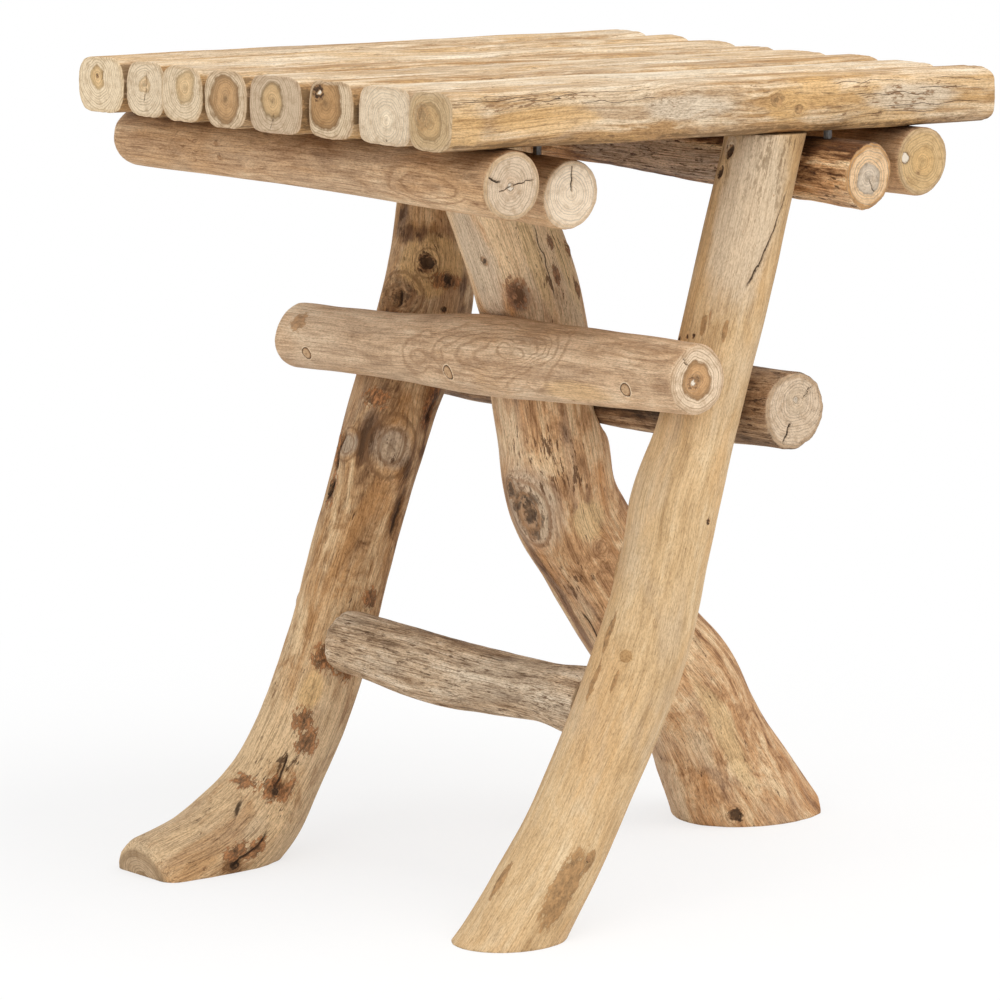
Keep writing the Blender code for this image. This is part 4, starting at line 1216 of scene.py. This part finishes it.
def leg_branch(node, seed, seat):
    """A leg along its bent line, which runs on past the level cuts, and its radii."""
    rows = np.array(LEG_LINES[node]) * MM
    lead = rows[0] - rows[1]
    first = rows[0] + lead / np.linalg.norm(lead[:3]) * TOP_SPARE
    first[3] = rows[0][3]
    rows = np.vstack([first, rows])
    rows[:, :3] += np.array(seat)
    line, marks = smooth_line(rows)
    rounds = (SAWN_ROUND, TOE_ROUND if node == "leg_back" else SAWN_ROUND)
    branch = Branch(node, seed, line, marks, full_turn(LEG_SIDES), rounds, (-END_SKIP, END_SKIP))
    low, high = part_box(node)
    return branch, smoothed(branch.measure(low.z, high.z), LOG_SMOOTHING) - branch.end_drop()


def smoothed(found, smoothing):
    cells, widths = smoothing
    return blur(median(found, *cells), *widths)


def section(points, place):
    """Middle and half size of a straight branch near a place along y."""
    near = points[np.abs(points[:, 1] - place) < END_SECTION]
    low = near.min(axis=0)
    high = near.max(axis=0)
    return (low + high) / 2, (high - low) / 2


def log_branch(node, seed):
    """A straight branch from front to back, and its radii."""
    low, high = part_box(node)
    points = np.array([vertex.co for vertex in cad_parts[node].data.vertices])
    ends = []
    for place in (low.y, high.y):
        middle, half = section(points, place)
        ends.append(np.array([middle[0], place, middle[2], half[0]]))
    share = np.linspace(0, 1, int((high.y - low.y) / LINE_STEP) + 1)[:, None]
    line = ends[0] + (ends[1] - ends[0]) * share
    rounds = LOGS[node][:2]
    skips = [size + END_SKIP for size in rounds]
    branch = Branch(node, seed, line, run_of(line[:, :3]), full_turn(LOG_SIDES), rounds, skips)
    return branch, smoothed(branch.run_on(branch.measure()), LOG_SMOOTHING) - branch.end_drop()


def slat_angles(wide, thick):
    """Angles round a slat that give even steps along its outline."""
    turns = full_turn(OUTLINE_STEPS)
    outline = []
    for size, reach in ((wide, np.cos(turns)), (thick, np.sin(turns))):
        outline.append(np.copysign(size / 2 - SLAT_CORNER, reach) + SLAT_CORNER * reach)
    outline = np.column_stack(outline)
    outline = np.vstack([outline, outline[:1]])
    run = run_of(outline)
    marks = np.linspace(0, run[-1], SLAT_SIDES, endpoint=False)
    across, up = (np.interp(marks, run, column) for column in outline.T)
    return np.unwrap(np.arctan2(up, across))


def corner_share(angles, wide, thick):
    """1 at the four rounded corners of a slat, falling to 0 along its flat sides."""
    inset = SLAT_CORNER * (1 - math.sqrt(0.5))
    tilt = math.atan2(thick / 2 - inset, wide / 2 - inset)
    reach = math.hypot(thick / 2 - inset, wide / 2 - inset)
    corners = np.array([tilt, math.pi - tilt, math.pi + tilt, -tilt])
    nearest = np.abs(wrapped(angles[:, None] - corners)).min(axis=1) * reach
    return bell(nearest / CORNER_FILL_WIDTH)


def slat_branch(node, seed):
    """A slat from left to right, and its radii."""
    low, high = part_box(node)
    middle = (low + high) / 2
    length, wide, thick = (stop - start for start, stop in zip(low, high))
    places = np.linspace(low.x, high.x, int(length / LINE_STEP) + 1)
    line = np.array([(place, middle.y, middle.z, thick / 2) for place in places])
    angles = slat_angles(wide, thick)
    rounds = (SLAT_END_ROUND, SLAT_END_ROUND)
    skips = [size + END_SKIP for size in rounds]
    branch = Branch(node, seed, line, places - places[0], angles, rounds, skips, SLAT_RAY_START)
    radius = smoothed(branch.run_on(branch.measure()), SLAT_SMOOTHING)
    fill = SLAT_CORNER_FILL[SLATS.index(node)] * corner_share(angles, wide, thick)
    return branch, radius + fill - branch.end_drop()


class Field:
    """A value in a material, for sums with numbers and other values."""

    def __init__(self, shader, socket):
        self.shader = shader
        self.socket = socket

    def __add__(self, other):
        return self.shader.math("ADD", self, other)

    def __sub__(self, other):
        return self.shader.math("SUBTRACT", self, other)

    def __mul__(self, other):
        return self.shader.math("MULTIPLY", self, other)

    def __abs__(self):
        return self.shader.math("ABSOLUTE", self)

    def swing(self, weight):
        """The value about its usual middle of 0.5, times a weight."""
        return (self - 0.5) * weight

    def ease(self, start, full):
        """A smooth step from 0 at the start to 1 where it is full, upwards or downwards."""
        inputs = {"Value": self, "From Min": start, "From Max": full}
        return self.shader.add("ShaderNodeMapRange", inputs, "Result", interpolation_type="SMOOTHSTEP")


class Shader:
    """Short ways to add and join the nodes of a material or of the surroundings."""

    def __init__(self, owner):
        owner.use_nodes = True
        self.owner = owner
        self.nodes = owner.node_tree.nodes
        self.links = owner.node_tree.links

    def put(self, socket, value):
        if isinstance(value, Field):
            self.links.new(value.socket, socket)
        else:
            socket.default_value = value

    def add(self, kind, inputs=None, output=0, **settings):
        """One output of a new node, which has these settings and inputs."""
        node = self.nodes.new(kind)
        for name, setting in settings.items():
            setattr(node, name, setting)
        for name, value in (inputs or {}).items():
            self.put(node.inputs[name], value)
        return Field(self, node.outputs[output])

    def outputs(self, field):
        return [Field(self, socket) for socket in field.socket.node.outputs]

    def math(self, operation, first, second=0.0, clamp=False):
        return self.add("ShaderNodeMath", {0: first, 1: second}, operation=operation, use_clamp=clamp)

    def scale(self, vector, factors):
        inputs = {0: vector, 1: factors}
        return self.add("ShaderNodeVectorMath", inputs, operation="MULTIPLY")

    def length(self, vector):
        return self.add("ShaderNodeVectorMath", {0: vector}, "Value", operation="LENGTH")

    def attribute(self, name):
        return self.add("ShaderNodeAttribute", output="Vector", attribute_name=name)

    def place(self):
        return self.add("ShaderNodeTexCoord", output="Object")

    def split(self, vector):
        return self.outputs(self.add("ShaderNodeSeparateXYZ", {0: vector}))

    def noise(self, vector, scale, detail, rough, bend=0.0):
        inputs = {"Scale": 1.0, "Detail": detail, "Roughness": rough, "Distortion": bend}
        return self.add("ShaderNodeTexNoise", {"Vector": self.scale(vector, scale), **inputs})

    def ramp(self, value, stops):
        """A colour from stops of place and colour."""
        stops = tuple(stops)
        found = self.add("ShaderNodeValToRGB", {0: value})
        elements = found.socket.node.color_ramp.elements
        while len(elements) < len(stops):
            elements.new(0.5)
        for element, (place, colour) in zip(elements, stops):
            element.position = place
            element.color = (*colour, 1)
        return found

    def mix(self, share, first, second, blend="MIX"):
        """The first colour, covered or multiplied by a share of the second."""
        second = second if isinstance(second, Field) else (*second, 1)
        inputs = {0: share, 6: first, 7: second}
        return self.add("ShaderNodeMix", inputs, 2, data_type="RGBA", blend_type=blend)

    def tint(self, share, colour, noise, stops):
        return self.mix(share, colour, self.ramp(noise, stops), "MULTIPLY")

    def blend(self, share, first, second):
        return self.add("ShaderNodeMixShader", {0: share, 1: first, 2: second})

    def plain_view(self):
        """1 for rays that show the background: straight from the camera, or by way of metal or glass."""
        paths = self.add("ShaderNodeLightPath", output="Is Camera Ray").socket.node.outputs
        camera, glossy, through = (Field(self, paths[f"Is {kind} Ray"]) for kind in BACKGROUND_RAYS)
        return self.math("MAXIMUM", self.math("MAXIMUM", camera, glossy), through)

    def surface(self, inputs):
        """Sets the inputs of the surface and gives back its node."""
        node = self.nodes["Principled BSDF"]
        for name, value in inputs.items():
            self.put(node.inputs[name], value)
        return node

    def bump(self, height, strength, distance):
        inputs = {"Height": height, "Strength": strength, "Distance": distance}
        return self.add("ShaderNodeBump", inputs)


def scaled(colour, factor):
    return tuple(min(part * factor, 1) for part in colour)


class Wood(Shader):
    """Weathered wood: bands, fibres, flecks and rings on the sides, rings and heart on the sawn ends."""

    def __init__(self, node, look):
        super().__init__(bpy.data.materials.new(node))
        self.look = look
        self.end_look = ENDS.get(node, ENDS["plain"])
        self.dark = look["tones"][0]
        self.marks = {}
        grain = self.attribute("grain")
        pith = self.attribute("pith")
        self.layer = {name: self.noise(grain, *layer) for name, layer in GRAIN_LAYERS.items()}
        self.knot, self.hole, self.dash = self.split(self.attribute("mark"))
        self.bark, self.bare, self.pale = self.split(self.attribute("patch"))
        self.end, self.share, self.shift = self.split(self.attribute("face"))
        self.lift = self.split(pith)[2]
        self.depth = self.length(self.scale(pith, (1.0, 1.0, 0.0)))
        self.bent = self.depth + self.layer["wander"] * RING_WANDER
        self.years = self.noise(self.bent, *YEAR_LAYER)
        colour = self.add_rings(self.add_patches(self.tones()))
        colour = self.add_soil_and_shade(self.add_bark(self.add_fibres(colour)))
        colour = self.mix(self.end, colour, self.sawn_end())
        self.finish(self.add_cracks(self.add_knots(colour)))

    def ravelled(self, value, layers):
        """A value made uneven by layers of noise."""
        return sum((self.layer[name].swing(weight) for name, weight in layers), value)

    def tones(self):
        """Bands, streaks and mottling from dark to light, under warm and grey washes."""
        parts = zip(("band", "streak", "mottle"), self.look["mix"])
        # The shift of tone moves the ramp, so the painted shade on slat sides, undersides and bearer tops
        # darkens the wood here as well
        tone = sum((self.layer[name] * weight for name, weight in parts), self.shift)
        spread = self.look["spread"]
        colour = self.ramp(tone, zip((0.5 - spread, 0.5, 0.5 + spread), self.look["tones"]))
        for name, layer, edge in (("warm", "heat", WARM_EDGE), ("grey", "wash", GREY_EDGE)):
            wash, share = self.look[name]
            colour = self.mix(self.layer[layer].ease(*edge) * share, colour, wash)
        return colour

    def add_patches(self, colour):
        """Pale grey and bare patches."""
        mottle = self.layer["mottle"]
        pale = (self.pale + mottle * PALE_MOTTLE).ease(*PALE_EDGE) * self.pale.ease(*PALE_REACH)
        colour = self.mix(pale * PATCH_COVER, colour, scaled(self.look["grey"][0], PALE_GAIN))
        bare = (self.bare + mottle * BARE_MOTTLE).ease(*BARE_EDGE) * self.bare.ease(*BARE_REACH)
        return self.mix(bare * PATCH_COVER, colour, self.look["bare"])

    def add_rings(self, colour):
        """Growth rings that the surface cuts through, and the contours of the growth figure."""
        colour = self.mix(self.years.ease(*RING_EDGE) * self.look["rings"], colour, self.dark)
        level = self.lift * (1 / FIGURE_STEP) + self.layer["wander"] * CONTOUR_WANDER
        level = self.math("FRACT", level + self.layer["mottle"] * CONTOUR_MOTTLE)
        contour = abs(level - 0.5).ease(*CONTOUR_EDGE) * self.lift.ease(*CONTOUR_REACH)
        self.marks["contour"] = contour
        return self.mix(contour * CONTOUR_COVER, colour, self.dark)

    def add_fibres(self, colour):
        """Fibres, grit, dark hair lines and flecks."""
        start, gain = GRIT_COVER
        share = self.look["fibre"]
        colour = self.tint(share, colour, self.layer["fibre"], FIBRE_TINT)
        colour = self.tint(start + gain * share, colour, self.layer["grit"], GRIT_TINT)
        line = abs(self.layer["streak"] - 0.5).ease(*LINE_EDGE) * self.layer["fleck"].ease(*LINE_REACH)
        colour = self.mix(line * self.look["hair"], colour, scaled(self.dark, LINE_TONE))
        tone, level = self.look["fleck"]
        fleck = (self.layer["fleck"] + self.dash * DASH_CROWD).ease(level, level + FLECK_EDGE)
        self.marks.update(line=line, fleck=fleck)
        return self.mix(fleck * FLECK_COVER, colour, tone)

    def add_bark(self, colour):
        """Flakes of bark."""
        deep, pale, fray = self.look["crust"]
        bark = self.look["bark"]
        layers = (("flake", fray), ("mottle", CRUST_MOTTLE * fray), ("streak", CRUST_STREAK))
        crust = self.ravelled(self.bark, layers).ease(*CRUST_EDGE) * self.bark.ease(*CRUST_REACH)
        self.marks["crust"] = crust
        stops = zip(BARK_STOPS, (scaled(bark, deep), bark, scaled(bark, pale)))
        return self.mix(crust * CRUST_COVER, colour, self.ramp(self.layer["flake"], stops))

    def add_soil_and_shade(self, colour):
        """Dark soil and painted shade where the tone is shifted far down: the dark patches, partly soil and
        partly painted shade, and the painted shade on slat sides, undersides and bearer tops.
        """
        soil_and_shade = self.ravelled(self.shift, SOIL_AND_SHADE_RAVEL).ease(*SOIL_AND_SHADE_EDGE) * self.shift.ease(*SOIL_AND_SHADE_REACH)
        return self.mix(soil_and_shade * SOIL_AND_SHADE_COVER, colour, scaled(self.dark, SOIL_AND_SHADE_TONE))

    def sawn_end(self):
        """Heart, sapwood and rim of a sawn end, with rings, dirt and pores."""
        heart, sap, rim, radius, _, outline = self.end_look
        edge = scaled(heart, outline)
        soft = scaled(heart, min(HEART_GAIN, 1 / max(heart)))
        reach = self.ravelled(self.depth, HEART_RAVEL) * (0.5 / (radius * MM))
        stops = zip(END_STOPS, (edge, heart, soft, heart, edge, sap))
        colour = self.mix(self.share.ease(*RIM_EDGE), self.ramp(reach, stops), rim)
        colour = self.tint(DIRT_COVER, colour, self.layer["ragged"], DIRT_TINT)
        year = self.math("SINE", self.bent * YEARS).ease(*YEAR_EDGE) * self.years.ease(*YEAR_REACH)
        colour = self.mix(year * YEAR_COVER, colour, scaled(heart, YEAR_TONE))
        return self.tint(PORE_COVER, colour, self.layer["pores"], PORE_TINT)

    def add_knots(self, colour):
        """Rings round the knots, their torn cores and dark pits, and pale flecks."""
        ripple = self.ravelled(self.knot, KNOT_RAVEL)
        near = self.knot.ease(*KNOT_RING_REACH) * ripple.ease(*KNOT_RING_START)
        rings = self.math("SINE", ripple * KNOT_RINGS).ease(*KNOT_RING_EDGE) * near
        colour = self.mix(rings * KNOT_RING_COVER, colour, self.dark)
        torn = self.ravelled(ripple, CORE_RAVEL)
        dark = self.math("MAXIMUM", self.hole, 0.0)
        core = torn.ease(*CORE_EDGE) * dark
        colour = self.mix(core * KNOT_COVER, colour, self.ramp(self.layer["flake"], CORE_TONES))
        pit = (torn - self.hole.ease(*HOLLOW_EDGE) * HOLLOW_GROWTH).ease(*PIT_EDGE) * dark
        colour = self.mix(pit * KNOT_COVER, colour, KNOT_COLOUR)
        self.marks.update(core=core, pit=pit)
        pale = self.math("MULTIPLY", self.hole, -1.0, clamp=True)
        colour = self.mix(torn.ease(*PALE_RING_EDGE) * (pale * PALE_RING_COVER), colour, KNOT_COLOUR)
        return self.mix(torn.ease(*PALE_SPOT_EDGE) * pale, colour, PALE_FLECK)

    def add_cracks(self, colour):
        """Dark cracks, as far as they are open."""
        lanes = zip(self.split(self.attribute("split")), self.split(self.attribute("opened")))
        gap = None
        for side, opened in lanes:
            slit = abs(side + self.layer["fleck"].swing(CRACK_RAVEL)).ease(*SLIT_EDGE) * opened
            gap = slit if gap is None else self.math("MAXIMUM", gap, slit)
        self.marks["gap"] = gap
        return self.mix(gap * CRACK_COVER, colour, CRACK_COLOUR)

    def finish(self, colour):
        """Colour, roughness and bump of the surface."""
        rough, slope = WOOD_ROUGHNESS
        heights = [self.layer[name] * weight for name, weight in BUMP_NOISE]
        heights += [self.marks[name] * weight for name, weight in BUMP_MARKS]
        start, gain = BUMP_STRENGTH
        bump = self.bump(sum(heights[1:], heights[0]), start + gain * self.look["fibre"], BUMP_DISTANCE)
        rough = self.layer["fibre"] * slope + rough
        gloss = {"Specular IOR Level": WOOD_GLOSS}
        self.surface({"Base Color": colour, "Roughness": rough, "Normal": bump, **gloss})


def steel_material():
    """Brushed steel of the screws."""
    shader = Shader(bpy.data.materials.new("steel"))
    brushed = shader.noise(shader.place(), *STEEL_LAYER)
    colour = shader.ramp(brushed, STEEL_TONES)
    rough, slope = STEEL_ROUGHNESS
    shader.surface({"Base Color": colour, "Roughness": brushed * slope + rough, "Metallic": 1.0})
    return shader.owner


def plug_material():
    """End grain of the wooden plugs over the screws, the dark groove round them and the lip of the hole."""
    shader = Shader(bpy.data.materials.new("plug"))
    reach, plain, _ = shader.split(shader.attribute("ring"))
    grain = shader.noise(shader.place(), *PLUG_LAYER)
    uneven = reach + grain.swing(PLUG_RAVEL)
    colour = shader.mix(plain, shader.ramp(uneven, PLUG_TONES), shader.ramp(uneven, PLAIN_PLUG_TONES))
    colour = shader.tint(PLUG_TINT_COVER, colour, grain, PLUG_TINT)
    bump = shader.bump(grain, *PLUG_BUMP)
    rough, slope = PLUG_ROUGHNESS
    gloss = {"Specular IOR Level": WOOD_GLOSS}
    shader.surface({"Base Color": colour, "Roughness": grain * slope + rough, "Normal": bump, **gloss})
    return shader.owner


def add_wood(camera):
    """Every leg, log and slat as a fine mesh, given back by node with its branch."""
    made = {}
    for seed, node in enumerate((*LEG_LINES, *LOGS, *SLATS), 1):
        caps = (0, 1)
        cuts = ()
        if node in LEG_LINES:
            look = slot = node + "_wood"
            branch, radius = leg_branch(node, seed, camera.seat)
            low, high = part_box(node)
            caps = (1,)
            cuts = ((high.z, 1), (low.z, -1))
        elif node in LOGS:
            look, slot = LOGS[node][2:]
            branch, radius = log_branch(node, seed)
        else:
            look = slot = "seat_wood"
            branch, radius = slat_branch(node, seed)
        place_marks(branch, camera)
        place_hidden(branch, camera)
        mesh = build(branch, radius + branch.relief(RELIEF.get(node, SLAT_RELIEF)), caps)
        for height, normal in cuts:
            cut_level(mesh, height, normal)
        add_look(node, mesh, Wood(node, WOODS[look]).owner)
        made[node] = (branch, mesh)
    return made


def add_plugs(made):
    """Each wooden plug as a low button in a groove, on the surface of the branch that carries it."""
    material = plug_material()
    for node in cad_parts:
        carrier = PLUG_CARRIERS.get(node.rsplit("_", 1)[0], PLUG_CARRIERS.get(node))
        if carrier is None:
            continue
        branch, wood = made[carrier]
        points, reaches = plug_points(node, branch, tree_of(wood))
        mesh = bpy.data.meshes.new(node)
        mesh.from_pydata(points, [], plug_faces())
        plain = float(node == PLAIN_PLUG)
        set_values(mesh, "ring", [(min(reach / PLUG_LIP, 1.0), plain, 0.0) for reach in reaches])
        add_look(node, mesh, material)


def plug_points(node, branch, tree):
    """Points of a plug, raised or sunk from the carrier's surface along the way out, and their reaches."""
    low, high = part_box(node)
    mark, angle = branch.locate((low + high) / 2)
    radius = float(branch.at(np.array([mark]))[4][0])
    points = []
    reaches = []
    for reach, rise in np.array(PLUG_PROFILE) * MM:
        for turn in full_turn(PLUG_SIDES) if reach else (0.0,):
            along = mark + reach * math.sin(turn)
            centre, out = branch.out_at(along, angle + reach * math.cos(turn) / radius)
            hit = tree.ray_cast(centre + out * (radius + RAY_START), -out)[0]
            points.append(tuple(hit + out * rise))
            reaches.append(reach)
    return points, reaches


def plug_faces():
    """Faces of a plug: a fan at the top, rings down its profile and a fan that closes its foot."""
    starts = [1 + row * PLUG_SIDES for row in range(len(PLUG_PROFILE) - 1)]
    foot = starts.pop()
    steps = [(first, (first + 1) % PLUG_SIDES) for first in range(PLUG_SIDES)]
    faces = [(0, 1 + first, 1 + second) for first, second in steps]
    for low, high in zip(starts, starts[1:]):
        faces += [(low + first, high + first, high + second, low + second) for first, second in steps]
    return faces + [(starts[-1] + first, foot, starts[-1] + second) for first, second in steps]


def add_screws():
    """Screws keep their CAD shape and take the steel material."""
    steel = steel_material()
    for name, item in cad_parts.items():
        if "_screw_" in name:
            item.data.materials.clear()
            item.data.materials.append(steel)


def add_lights():
    for name, (place, size, power, colour) in LIGHTS.items():
        data = bpy.data.lights.new(name, "AREA")
        data.shape = "DISK"
        data.size = size
        data.energy = power
        data.color = colour
        item = bpy.data.objects.new(name, data)
        item.location = place
        item.rotation_euler = (Vector(LIGHT_TARGET) - Vector(place)).to_track_quat("-Z", "Y").to_euler()
        bpy.context.scene.collection.objects.link(item)


def add_world():
    """Soft light from all around, and a white background for the camera only."""
    world = bpy.data.worlds.new("studio")
    bpy.context.scene.world = world
    shader = Shader(world)
    shader.nodes.clear()
    white = {"Color": (*WHITE, 1)}
    soft = shader.add("ShaderNodeBackground", {**white, "Strength": WORLD_LEVEL})
    seen = shader.add("ShaderNodeBackground", white)
    output = shader.nodes.new("ShaderNodeOutputWorld")
    shader.put(output.inputs["Surface"], shader.blend(shader.plain_view(), soft, seen))


def add_floor():
    """Pale floor that fades into the white background."""
    half = FLOOR_SIZE / 2
    mesh = bpy.data.meshes.new("floor")
    corners = [(-half, -half, 0), (half, -half, 0), (half, half, 0), (-half, half, 0)]
    mesh.from_pydata(corners, [], [(0, 1, 2, 3)])
    shader = Shader(bpy.data.materials.new("floor"))
    place = shader.place()
    colour = shader.ramp(shader.noise(place, *FLOOR_LAYER), FLOOR_TONES)
    plain = {"Roughness": FLOOR_ROUGHNESS, "Specular IOR Level": 0.0}
    lit = Field(shader, shader.surface({"Base Color": colour, **plain}).outputs[0])
    far = shader.length(place).ease(*FADE) * (1 - NEAR_WHITE)
    fade = (far + NEAR_WHITE) * shader.plain_view()
    seen = shader.blend(fade, lit, shader.add("ShaderNodeEmission"))
    shader.put(shader.nodes["Material Output"].inputs["Surface"], seen)
    mesh.materials.append(shader.owner)
    floor = bpy.data.objects.new("floor", mesh)
    floor.location.z = -FLOOR_DROP
    bpy.context.scene.collection.objects.link(floor)


bpy.context.scene.view_settings.view_transform = "Standard"
photo_camera = Camera()
photo_camera.add()
add_plugs(add_wood(photo_camera))
add_screws()
add_world()
add_lights()
add_floor()
